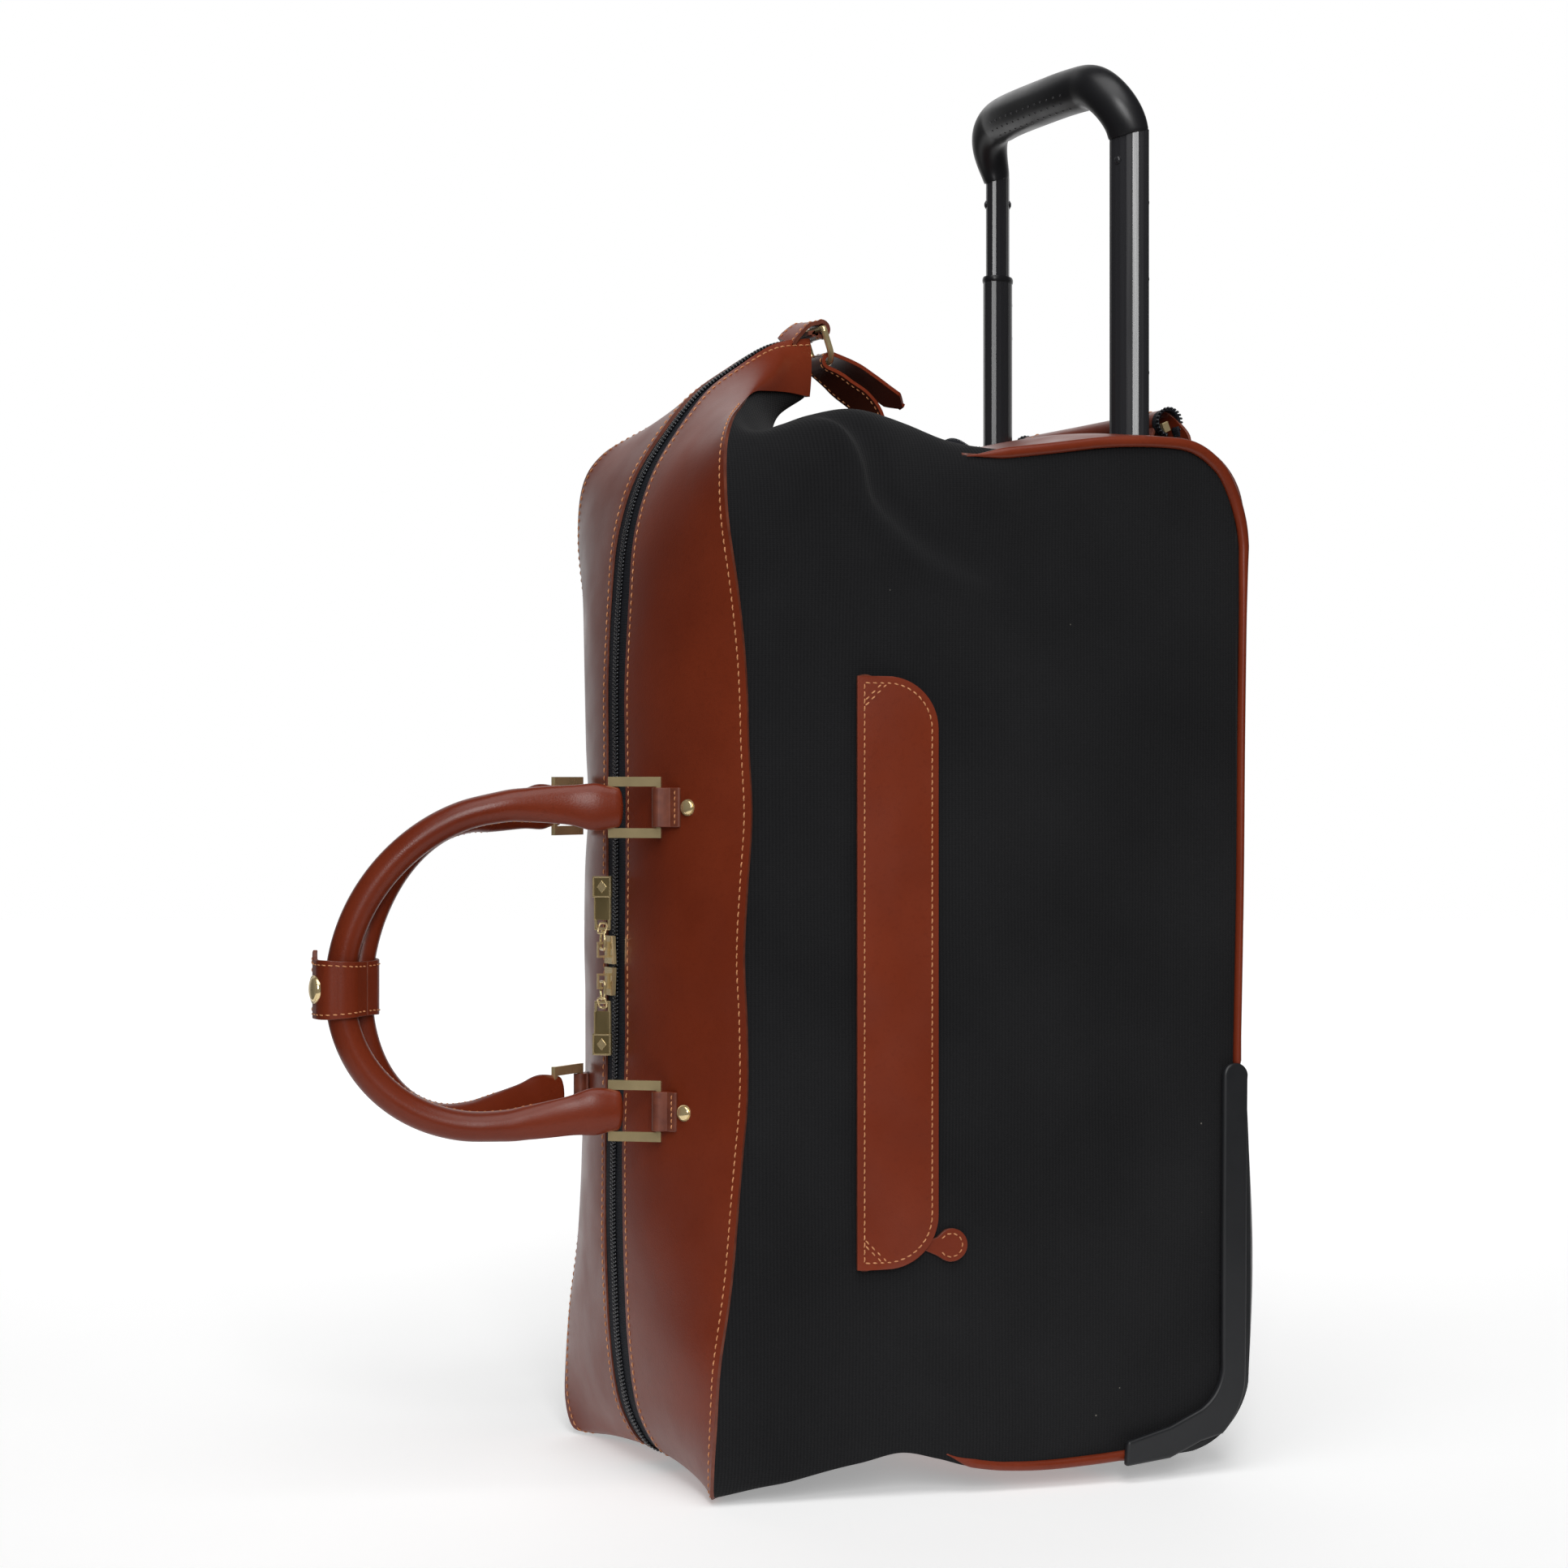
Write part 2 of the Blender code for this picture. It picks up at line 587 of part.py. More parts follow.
def offset_strip(centre, wall):
    """Closed outline of a bent strip: its line, and the same line pushed outwards by the wall."""
    outside = []
    for i, p in enumerate(centre):
        before = (p - centre[i - 1]).normalized() if i else None
        after = (centre[i + 1] - p).normalized() if i + 1 < len(centre) else None
        normals = [Vector((d.y, -d.x, 0)) for d in (before, after) if d]
        total = sum(normals, Vector()).normalized()
        outside.append(p + total * wall / max(total.dot(normals[0]), 0.3))
    middle = sum(centre, Vector()) / len(centre)
    if sum((o - middle).length for o in outside) < sum((p - middle).length for p in centre):
        outside = [2 * p - o for p, o in zip(centre, outside)]
    loop = list(centre) + list(reversed(outside))
    return [(p.x, p.y) for p in loop]


# Zip sliders -----------------------------------------------------------------------------------------------

SLIDER_X = -0.0915
SLIDER_HEIGHTS = {"upper": 0.2985, "lower": 0.2805}
PULLER_X = SLIDER_X - 0.0038  # axis of each puller's bar
PULLER_TURN = math.radians(50)  # pullers lie turned towards the near side
PULLER_BAR = 0.0014


def sliders():
    """Two gold sliders that meet, each with a bridge that its puller hangs from."""
    for level, z in SLIDER_HEIGHTS.items():
        up = 1 if level == "upper" else -1
        wide, narrow, half_long = 0.0062, 0.0046, 0.0080
        outline = [(-wide, -up * half_long), (wide, -up * half_long), (narrow, up * half_long),
                   (-narrow, up * half_long)]
        body = prism(f"{level}_slider", [outline], lambda y, dz, w, z=z: Vector((SLIDER_X + 0.0022 - w, y, z + dz)),
                     0.0026, GOLD_LOOK)
        frame = [(-0.0072, -0.0045), (0.0004, -0.0045), (0.0004, 0.0045), (-0.0072, 0.0045)]
        slot = [(-0.0062, -0.0032), (-0.0015, -0.0032), (-0.0015, 0.0032), (-0.0062, 0.0032)]
        half_thick = 0.0008
        bridge = prism(f"{level}_slider_bridge", [frame, slot],
                       lambda x, dz, w, z=z: Vector((SLIDER_X + x, w - half_thick, z + dz)), 2 * half_thick, GOLD_LOOK)
        join(body, bridge)
        puller(level, z, up)


def join(obj, other):
    """Boolean union that keeps the first object and hides the other."""
    other.hide_render = True
    other.display_type = "WIRE"
    modifier = obj.modifiers.new("join_" + other.name, "BOOLEAN")
    modifier.operation = "UNION"
    modifier.object = other


def puller(level, z, up):
    """A flat eye looped through the slider's bridge, and a plate turned on it as on a twisted link."""
    bar, eye, neck, neck_end = PULLER_BAR, 0.0024, 0.0034, 0.0095
    outline = [(-neck, -bar / 2), (neck, -bar / 2), (neck, neck_end), (-neck, neck_end)]
    window = [(-eye, bar / 2), (eye, bar / 2), (eye, neck_end - 0.0016), (-eye, neck_end - 0.0016)]
    link = prism(f"{level}_puller", [outline, window],
                 lambda u, v, w: Vector((PULLER_X + w - bar / 2, u, z + up * v)), bar, GOLD_LOOK)
    half, start, tip = 0.0050, 0.0088, 0.0425
    c, s = math.cos(PULLER_TURN), math.sin(PULLER_TURN)

    def turned_place(u, v, w):
        thick = w - bar / 2
        return Vector((PULLER_X + thick * c - u * s, thick * s + u * c, z + up * v))
    plate = prism(f"{level}_puller_plate", [[(-half, start), (half, start), (half, tip), (-half, tip)]],
                  turned_place, bar, GOLD_LOOK)
    join(link, plate)


# Upper end: ring, tab and closing strap ---------------------------------------------------------------------

D_BAR = (0.0385, 0.6600)  # (x, z) of the D-ring's straight bar
D_FOOT = (0.0450, 0.6410)  # of its rounded side
WIRE = 0.0019  # half the ring's thickness


def thick_line(path, thickness):
    """Closed outline of a strap seen edge on."""
    left, right = [], []
    for i, (x, z) in enumerate(path):
        before, after = path[max(i - 1, 0)], path[min(i + 1, len(path) - 1)]
        along = Vector((after[0] - before[0], after[1] - before[1])).normalized()
        out = Vector((-along.y, along.x)) * thickness / 2
        left.append((x + out.x, z + out.y))
        right.append((x - out.x, z - out.y))
    return left + right[::-1]


def d_outline(half, corner, start, end):
    """Straight bar, two arms and a rounded foot: u across and v down."""
    return ([(-half, start), (-half, end - corner)] + arc(-half + corner, end - corner, corner, 180, 90, 4)
            + arc(half - corner, end - corner, corner, 90, 0, 4) + [(half, start)])


def end_strap():
    """D-ring on its tab at the zip's upper end, and the strap that ties it down to the base."""
    def edge_on(half):
        return lambda u, v, w: Vector((u, w - half, v))

    tab_half, strap_half, thick = 0.0104, 0.0090, 0.0024
    tab = [(0.0120, 0.6520), (0.0220, 0.6570), (0.0310, 0.6630)] + arc(*D_BAR, 0.0045, 120, -120, 8)
    prism("ring_tab", [thick_line(tab, thick)], edge_on(tab_half), 2 * tab_half, LEATHER_LOOK)

    down = Vector((D_FOOT[0] - D_BAR[0], D_FOOT[1] - D_BAR[1]))
    length = down.length
    down.normalize()
    half, corner = 0.0150, 0.0090
    outer = d_outline(half, corner, -WIRE, length + WIRE)
    inner = d_outline(half - 2 * WIRE, corner - 2 * WIRE, WIRE, length - WIRE)

    def on_ring(u, v, w):
        thick_way = w - WIRE
        return Vector((D_BAR[0] + down.x * v - down.y * thick_way, u, D_BAR[1] + down.y * v + down.x * thick_way))
    prism("d_ring", [outer, inner], on_ring, 2 * WIRE, GOLD_LOOK)

    path = [(0.0800, 0.5784), (0.0810, 0.5950), (0.0780, 0.6090), (0.0690, 0.6200), (0.0580, 0.6270), (0.0500, 0.6325)]
    path += arc(*D_FOOT, 0.0050, 240, 75, 7)
    path += [(0.0600, 0.6400), (0.0740, 0.6320), (0.0860, 0.6245), (0.0970, 0.6180)]
    prism("closing_strap", [thick_line(path, thick)], edge_on(strap_half), 2 * strap_half, LEATHER_LOOK)


# Hard base ----------------------------------------------------------------------------------------------------

def wheel_housing():
    """Moulded shell round the lower back corner, bulging over the wheels, with a well for each."""
    profile = [(0.1580, 0.0115), (0.1700, 0.0110), (0.1850, 0.0115)]
    profile += arc(0.2000, 0.0560, 0.0440, -80, -10, 6)
    profile += [(0.2435, 0.0800), (0.2435, 0.1200), (0.2435, 0.1600), (0.2435, 0.2000), (0.2435, 0.2260)]
    rows = []
    for x, z in profile:
        row = []
        for k in range(-6, 7):
            share = k / 6
            swell = max(0.0, 1 - abs(share) ** 6)
            rise = math.sin(math.pi * min(max((z - 0.008) / 0.222, 0.0), 1.0)) ** 0.7
            row.append(Vector((x + 0.0225 * swell * rise * (x > 0.21), 0.1450 * share, z)))
        rows.append(row)
    shell = sheet("wheel_housing", rows, 0.0030, PLASTIC_LOOK, Vector((1, 0, -0.5)))
    for name, side in SIDES.items():
        cut(shell, box(name + "_well", (WHEEL_X - 0.0340, side * WHEEL_Y - 0.0150, -0.0100),
                       (WHEEL_X + 0.0300, side * WHEEL_Y + 0.0150, 0.0390), PLASTIC_LOOK))


def corner_guards():
    """Plastic bumper rails on the lower back corner of each side."""
    outside = [(0.1590, 0.0100), (0.1900, 0.0125), (0.2120, 0.0205)] + arc(0.1990, 0.0560, 0.0430, -50, 0, 6)
    outside += [(0.2425, 0.0900), (0.2425, 0.1500), (0.2425, 0.2260)] + arc(0.2360, 0.2280, 0.0065, 20, 90, 3)
    inside = [(0.2310, 0.2320), (0.2290, 0.2270), (0.2290, 0.1500)] + arc(0.1980, 0.0620, 0.0305, 10, -62, 6)
    inside += [(0.1900, 0.0300), (0.1600, 0.0235)]
    for name, side in SIDES.items():
        def place(u, v, w, side=side):
            return Vector((u, side * (HALF_WIDTH + 0.0006 + w), v))
        prism(name + "_corner_guard", [outside + inside], place, 0.0044, PLASTIC_LOOK)


def wheels():
    """Tyre on a hub with its bearing bore, turning on a fixed steel axle."""
    w, r = WHEEL_HALF, WHEEL_R
    for name, side in SIDES.items():
        centre = Vector((WHEEL_X, side * WHEEL_Y, WHEEL_R))
        tyre = [(-w + 0.003, r), (w - 0.003, r), (w, r - 0.003), (w, 0.0192), (-w, 0.0192), (-w, r - 0.003)]
        turned(name + "_tyre", tyre, centre, RUBBER_LOOK)
        hub = [(-w + 0.001, 0.0188), (w - 0.001, 0.0188), (w - 0.001, 0.0150), (0.0035, 0.0140), (0.0035, 0.0075),
               (w - 0.001, 0.0070), (w - 0.001, 0.0041), (-w + 0.001, 0.0041), (-w + 0.001, 0.0070),
               (-0.0035, 0.0075), (-0.0035, 0.0140), (-w + 0.001, 0.0150)]
        turned(name + "_hub", hub, centre, PLASTIC_LOOK)
        pin(name + "_axle", centre, 0.0190, 0.0038)
        bracket(name, side, centre)


def pin(name, centre, reach, radius):
    """Plain round pin along Y."""
    rings_of = [[centre + Vector((radius * math.cos(a), y, radius * math.sin(a)))
                 for a in (2 * math.pi * k / 16 for k in range(16))] for y in (-reach, reach)]
    lofted(name, rings_of, STEEL_LOOK)


def bracket(name, side, centre):
    """Fork that holds an axle: two cheeks joined by a bridge over the wheel."""
    inner, outer, top = 0.0125, 0.0155, 0.0600
    outline = [(-outer, 0.0200), (-inner, 0.0200), (-inner, top - 0.0025), (inner, top - 0.0025), (inner, 0.0200),
               (outer, 0.0200), (outer, top), (-outer, top)]

    def place(u, v, w):
        return Vector((WHEEL_X - 0.0080 + w, centre.y + u, v))
    fork = prism(name + "_wheel_fork", [outline], place, 0.0160, PLASTIC_LOOK)
    rings_of = [[centre + Vector((0.0041 * math.cos(a), y, 0.0041 * math.sin(a)))
                 for a in (2 * math.pi * k / 16 for k in range(16))] for y in (-0.03, 0.03)]
    cut(fork, lofted(name + "_axle_bore", rings_of, PLASTIC_LOOK))


# Trolley ---------------------------------------------------------------------------------------------------------

def hollow_oval(name, semi, wall, side, z0, z1):
    turn = TUBE_TURN * (1 if side > 0 else -1)
    outer = oval(semi, turn)
    inner = oval((semi[0] - wall, semi[1] - wall), turn)

    def place(u, v, w):
        return Vector((TUBE_X + u, side * TUBE_Y + v, z0 + w))
    return prism(name, [outer, inner], place, z1 - z0, TUBE_LOOK, sharp=50)


def trolley_tubes():
    for name, side in SIDES.items():
        hollow_oval(name + "_upper_tube", UPPER_OVAL, TUBE_WALL, side, UPPER_FOOT_Z, GRIP_END_Z - GAP)
        top = FAR_MID_TOP_Z if side > 0 else NEAR_MID_TOP_Z
        hollow_oval(name + "_middle_tube", MID_OVAL, TUBE_WALL + 0.0002, side, top - MID_LENGTH, top)
        hollow_oval(name + "_outer_tube", OUTER_OVAL, TUBE_WALL, side, OUTER_FOOT_Z, OUTER_TOP_Z)


def tube_brackets():
    """Plates that hold the outer tubes: a bezel with oval holes at the top, and a foot at the bottom."""
    rim = [(0.1810, -0.1070), (0.2210, -0.1070), (0.2210, 0.1070), (0.1810, 0.1070)]
    holes = []
    for side in SIDES.values():
        turn = TUBE_TURN * (1 if side > 0 else -1)
        semi = (MID_OVAL[0] + 0.0004, MID_OVAL[1] + 0.0004)
        holes.append([(TUBE_X + u, side * TUBE_Y + v) for u, v in oval(semi, turn)])
    prism("tube_bezel", [rim] + holes, lambda u, v, w: Vector((u, v, OUTER_TOP_Z + GAP + w)), 0.0040, PLASTIC_LOOK)
    box("tube_foot", (0.1850, -0.1020, OUTER_FOOT_Z - 0.0050), (0.2270, 0.1020, OUTER_FOOT_Z - GAP), PLASTIC_LOOK)


def grip_path():
    """Centre line of the grip, from the near tube up, across and down to the far one, and how far along its
    shoulder each point is, from 0 on a tube to 1 on the bar."""
    bend, leg_top = 0.0230, 0.7850
    reach = TUBE_Y - bend
    shoulder = [(0.0, GRIP_END_Z - leg_top), (0.0, 0.0)]
    shoulder += [(bend - x, z) for x, z in arc(0.0, 0.0, bend, 0, 90, 7)][1:]
    stations = [(-TUBE_Y + y, leg_top + z, i / (len(shoulder) - 1)) for i, (y, z) in enumerate(shoulder)]
    across = [(reach * k / 4, leg_top + bend, 1.0) for k in range(-3, 4)]
    stations += across + [(-y, z, share) for y, z, share in reversed(stations)]
    return [(Vector((TUBE_X - GRIP_BOW * math.cos(math.pi / 2 * y / TUBE_Y), y, z)), share)
            for y, z, share in stations]


def grip():
    """Arched handle whose ends carry on from the tubes, with the release button in its top."""
    stations = grip_path()
    rings_of = []
    for i, (p, share) in enumerate(stations):
        if i in (0, len(stations) - 1):
            along = Vector((0, 0, 1 if i == 0 else -1))
        else:
            along = (stations[i + 1][0] - stations[i - 1][0]).normalized()
        deep = Vector((1, 0, 0))
        deep = (deep - along * deep.dot(along)).normalized()
        inward = along.cross(deep)
        semi = [tube + (bar - tube) * share for tube, bar in zip(UPPER_OVAL, GRIP_SECTION)]
        rings_of.append([p + u * deep + v * inward for u, v in oval(semi, -TUBE_TURN)])
    body = lofted("grip", rings_of, PLASTIC_LOOK, sharp=60)
    centre_x, top = TUBE_X - GRIP_BOW, 0.8210
    half_x, half_y, depth, travel = 0.0062, 0.0200, 0.0110, 0.0030
    cut(body, box("button_pocket", (centre_x - half_x, -half_y, top - depth),
                  (centre_x + half_x, half_y, top + 0.0100), PLASTIC_LOOK))
    box("release_button", (centre_x - half_x + GAP, -half_y + GAP, top - depth + travel + 0.0006),
        (centre_x + half_x - GAP, half_y - GAP, top + 0.0008), TUBE_LOOK)


def main():
    clear_scene()
    side_panels()
    leather_panels()
    zip_tapes()
    gussets()
    beak_gusset()
    base_caps()
    side_piping()
    back_board()
    trolley_flap()
    pocket()
    rings()
    chapes()
    carry_handles()
    handle_wraps()
    sliders()
    end_strap()
    wheel_housing()
    corner_guards()
    wheels()
    trolley_tubes()
    tube_brackets()
    grip()


main()
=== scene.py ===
"""Looks of the rolling duffel bag: canvas and leather body, zip, handles, gold fittings, trolley and wheels.

Everything is in metres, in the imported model's frame: +Z up, -X the zip side with the carry handles,
+X the back with the trolley, -Y the near side with the pocket."""

import math

import bmesh
import bpy
import numpy as np
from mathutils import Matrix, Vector, noise


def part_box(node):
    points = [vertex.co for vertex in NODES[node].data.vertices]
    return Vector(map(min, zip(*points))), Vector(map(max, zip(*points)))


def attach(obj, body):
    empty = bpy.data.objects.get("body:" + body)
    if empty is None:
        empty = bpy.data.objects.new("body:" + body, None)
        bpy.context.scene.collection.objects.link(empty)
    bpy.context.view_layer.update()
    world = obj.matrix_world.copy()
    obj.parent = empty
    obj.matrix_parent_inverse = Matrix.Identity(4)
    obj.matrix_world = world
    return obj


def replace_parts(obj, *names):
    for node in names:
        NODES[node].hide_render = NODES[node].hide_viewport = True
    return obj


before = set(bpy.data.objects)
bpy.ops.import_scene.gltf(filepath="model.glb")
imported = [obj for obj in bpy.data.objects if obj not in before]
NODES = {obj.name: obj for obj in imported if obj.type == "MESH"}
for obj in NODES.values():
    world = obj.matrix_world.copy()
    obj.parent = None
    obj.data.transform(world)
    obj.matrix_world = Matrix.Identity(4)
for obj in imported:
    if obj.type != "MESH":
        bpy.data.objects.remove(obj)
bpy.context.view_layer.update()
SIDES = {"near": -1, "far": 1}

# Sizes repeated from the CAD source, in metres
BACK_X = 0.2405
HALF_WIDTH = 0.15
TOP_Z = 0.588
TOP_CORNER_R = 0.042
TAPE_HALF = 0.014
TUBE_X = 0.206
TUBE_Y = 0.08
RING_PIN = np.array((-0.0856, -0.06, 0.0))
RING_OUTER = np.array((-0.108, -0.044, 0.0))
RING_HEIGHTS = {"upper": 0.3803, "lower": 0.2115}
SLIDER_X = -0.0915
SLIDER_HEIGHTS = {"upper": 0.2985, "lower": 0.2805}
PULLER_X = SLIDER_X - 0.0038
PULLER_TURN = math.radians(50)
COIL_PITCH = 0.0022  # of a zip's teeth
AXES = ((1, 0, 0), (0, 1, 0), (0, 0, 1))
VIEW = (0.4226, 0.9063, 0.0)  # the level direction that the camera looks in

# The lines below are written in millimetres.
# Leather front panels: zip edge (x, z) paired with the seam (x, y, z), near side, from the top down
ZIP_LINE = np.array([
    (31.2, 654.5), (15, 652), (3, 647.4), (-13, 637.2), (-36, 620), (-56, 595.5), (-72, 569), (-82, 536),
    (-86, 498), (-88, 456), (-88, 418), (-88, 378), (-88, 338), (-88, 299), (-88, 262), (-88.5, 225),
    (-89.3, 187), (-89.6, 145), (-88.6, 110), (-86.8, 75), (-82, 42), (-74, 22), (-64, 10.5), (-45, 4.5),
]) / 1000
SEAM_LINE = np.array([
    (29.8, -12.5, 619.5), (11, -24, 619.8), (-8, -38, 618.2), (-24, -52, 615), (-42, -72, 604),
    (-58, -94, 592), (-66.5, -106, 573), (-67.5, -111, 539), (-61.5, -112, 498), (-57, -112, 456),
    (-54.7, -112, 418), (-53, -112, 378), (-56, -112, 338), (-58, -112, 299), (-56, -112, 262),
    (-56, -112, 225), (-59, -112, 187), (-62.7, -112, 145), (-67.2, -112, 110), (-72.5, -112, 75),
    (-75.2, -112, 42), (-76, -110, 20), (-73.5, -104, 4.5), (-66, -95, 2),
]) / 1000
# Middle of the bag's top and of its bottom (x, z), from the front to the back
TOP_LINE = np.array([
    (-60, 603), (-13, 597), (30, 587), (67, 577), (113, 580), (160, 586.5), (200, 588), (240.5, 588),
]) / 1000
BOTTOM_LINE = np.array([
    (-80, 2), (-30, 12), (15, 27), (50, 24), (80, 15.5), (160, 12.5), (240.5, 12.5),
]) / 1000

# Half-rings of the canvas body, near side, from the middle of the bottom round to the middle of the top.
# The first stands just behind the front seam and the last at the back edge.
BODY_RINGS = np.array([
    [(-30, 0, 11.2), (-30, -60, 11.2), (-35, -101.7, 10.8), (-58, -111.7, 14.5), (-58, -114.7, 78),
     (-48, -115.2, 150), (-44, -115.2, 300), (-42.5, -115.2, 452), (-54.5, -113.2, 535),
     (-52, -102.2, 582), (-34, -78, 590), (-6, -36, 598.5), (16.5, 0, 610.5)],
    [(-10, 0, 15.9), (-10, -65, 15.9), (-15, -109.2, 15.5), (-25, -118.5, 20.5), (-28, -120.5, 85),
     (-18, -121.5, 150), (-14, -121.5, 300), (-12, -122, 450), (-30, -118.5, 530), (-32, -109, 577),
     (-24, -88, 592.2), (-7, -40, 587), (2, 0, 596)],
    [(15, 0, 19.9), (15, -68, 19.9), (10, -116.1, 19.5), (4, -125, 27), (2, -126, 90), (10, -126.5, 150),
     (14, -127, 300), (16, -128, 450), (-2, -127, 535), (-8, -117.5, 579), (-8, -92, 598), (-3, -45, 585),
     (1, 0, 576)],
    [(36, 0, 24.4), (36, -70, 24.4), (32, -120.8, 24), (28, -130, 32), (28, -130.5, 95), (34, -131, 155),
     (38, -131.5, 300), (40, -132, 450), (26, -131.5, 530), (18, -123, 584), (16, -92, 603),
     (19, -45, 586), (22, 0, 573)],
    [(54, 0, 19.9), (54, -70, 19.9), (52, -124.4, 19.5), (50, -133.3, 28.5), (52, -133.8, 95),
     (56, -134.3, 155), (60, -134.8, 300), (62, -135.3, 450), (54, -135.3, 525), (48, -127.8, 579),
     (43, -92, 598), (42, -45, 584), (43, 0, 574)],
    [(75, 0, 15.4), (75, -70, 15.4), (75, -128.2, 15), (76, -137.9, 23.5), (82, -138.4, 95),
     (86, -138.9, 155), (90, -139.4, 300), (92, -139.9, 450), (85, -139.9, 520), (76, -136.4, 574),
     (69, -92, 587), (67, -45, 583), (67, 0, 580)],
    [(110, 0, 15.9), (110, -70, 15.9), (110, -132.2, 15.5), (110, -141.8, 23.5), (116, -142.8, 95),
     (120, -143.3, 155), (124, -143.8, 300), (124, -143.8, 450), (118, -143.8, 522), (110, -141.8, 577.8),
     (100, -125, 569), (100, -45, 567), (100, 0, 567)],
    [(150, 0, 16.4), (150, -70, 16.4), (150, -135.7, 16), (150, -145.1, 23.5), (158, -146.1, 95),
     (162, -146.6, 155), (165, -147.1, 300), (165, -147.1, 450), (160, -147.1, 525), (153, -145.6, 582.6),
     (150, -130, 567), (150, -60, 565), (150, 0, 565)],
    [(172, 0, 16.5), (172, -70, 16.5), (175, -138.5, 16.5), (184, -147.2, 24.5), (200, -148.2, 95),
     (202, -148.6, 155), (204, -149, 300), (204, -149, 450), (200, -149, 530), (193, -148.4, 585.2),
     (190, -130, 566), (190, -60, 563), (190, 0, 563)],
    [(176, 0, 30), (176, -80, 30), (192, -140, 21.5), (221.3, -148.6, 31.7), (236.5, -149, 95),
     (236, -149.2, 155), (236, -149.5, 300), (236, -149.5, 450), (236.8, -149.2, 530),
     (225.6, -148.6, 573.1), (210, -130, 564), (215, -60, 560), (215, 0, 560)],
]) / 1000
# The diagonal fold at the top of each side (x, z), from the crest down towards the back
SIDE_FOLD = np.array([
    (-14, 595), (-2.5, 588), (4, 572), (9, 549), (23, 532.5), (40, 518), (62, 507), (86, 498),
]) / 1000


# ---- Curves and grids ----

def unit(vectors):
    length = np.linalg.norm(vectors, axis=-1, keepdims=True)
    return vectors / np.maximum(length, 1e-12)


def coords(*values):
    """Points from their coordinates, any of which can be one number for all of them."""
    return np.stack(np.broadcast_arrays(*values), axis=-1)


def full_turn(count):
    return np.linspace(0, 2 * math.pi, count, endpoint=False)


def refine(points, count):
    """Catmull-Rom curve through points along the first axis, with this many points."""
    points = np.asarray(points, float)
    padded = np.concatenate([2 * points[:1] - points[1:2], points, 2 * points[-1:] - points[-2:-1]])
    place = np.linspace(0, len(points) - 1, count)
    i = np.minimum(place.astype(int), len(points) - 2)
    u = (place - i).reshape((-1,) + (1,) * (points.ndim - 1))
    p0, p1, p2, p3 = (padded[i + k] for k in range(4))
    return 0.5 * (2 * p1 + (p2 - p0) * u + (2 * p0 - 5 * p1 + 4 * p2 - p3) * u ** 2
                  + (3 * p1 - p0 - 3 * p2 + p3) * u ** 3)


def lengths(path):
    return np.concatenate([[0.0], np.cumsum(np.linalg.norm(np.diff(path, axis=0), axis=1))])


def interpolated(wanted, along, values):
    """Rows of values, known at these distances, read at the wanted ones."""
    return np.stack([np.interp(wanted, along, column) for column in np.asarray(values, float).T], axis=-1)


def at_lengths(path, wanted):
    """Points of a polyline at these distances along it."""
    return interpolated(wanted, lengths(path), path)


def run_along(path, normals, places, step):
    """At these distances along a path: its points, its directions and its normals."""
    ahead = at_lengths(path, places + step) - at_lengths(path, places - step)
    return at_lengths(path, places), unit(ahead), unit(interpolated(places, lengths(path), normals))


def evenly(path, count):
    return at_lengths(path, np.linspace(0, lengths(path)[-1], count))


def curve(points, count):
    """Smooth curve through points, evenly spaced."""
    return evenly(refine(points, 24 * len(points)), count)


def arc(cx, cy, radius, start, end, steps):
    """Points on an arc, with angles in degrees."""
    turns = np.radians(np.linspace(start, end, steps + 1))
    return coords(cx + radius * np.cos(turns), cy + radius * np.sin(turns))


def smooth_step(value, low, high):
    u = np.clip((value - low) / (high - low), 0.0, 1.0)
    return u * u * (3 - 2 * u)


def height_on(line, x):
    """Height at x of the smooth curve through a line of (x, z) points."""
    path = refine(line, 400)
    return np.interp(x, path[:, 0], path[:, 1])


def side_y(x):
    """Half-width of the bag at x."""
    share = np.clip((np.asarray(x, float) + 0.055) / (BACK_X + 0.055), 0.0, 1.0)
    return 0.112 + (HALF_WIDTH - 0.112) * np.sin(math.pi / 2 * share)


def grid_normals(grid, wrap=False):
    down = np.gradient(grid, axis=0)
    if wrap:
        across = (np.roll(grid, -1, axis=1) - np.roll(grid, 1, axis=1)) / 2
    else:
        across = np.gradient(grid, axis=1)
    return unit(np.cross(down, across))


def grid_faces(rows, columns, wrap=False, closed=False):
    """Faces of a grid of points. wrap joins its last column to its first, closed its last row."""
    faces = []
    for i in range(rows if closed else rows - 1):
        top, low = i * columns, (i + 1) % rows * columns
        for j in range(columns if wrap else columns - 1):
            k = (j + 1) % columns
            faces.append((top + j, top + k, low + k, low + j))
    return faces


def end_faces(rows, columns):
    """The two faces that close the ends of a wrapped grid."""
    return [tuple(range(columns)), tuple(range((rows - 1) * columns, rows * columns))]


def fan(start, count, hub):
    """Faces from a ring of points, numbered from start, to a middle point."""
    return [(start + k, start + (k + 1) % count, hub) for k in range(count)]


def lumps(points, scale, seed=0.0):
    """Smooth noise from -1 to 1 at each point."""
    shape = points.shape[:-1]
    flat = points.reshape(-1, 3) * scale + seed
    return np.array([noise.noise(Vector(p)) for p in flat]).reshape(shape)


# ---- Pieces ----

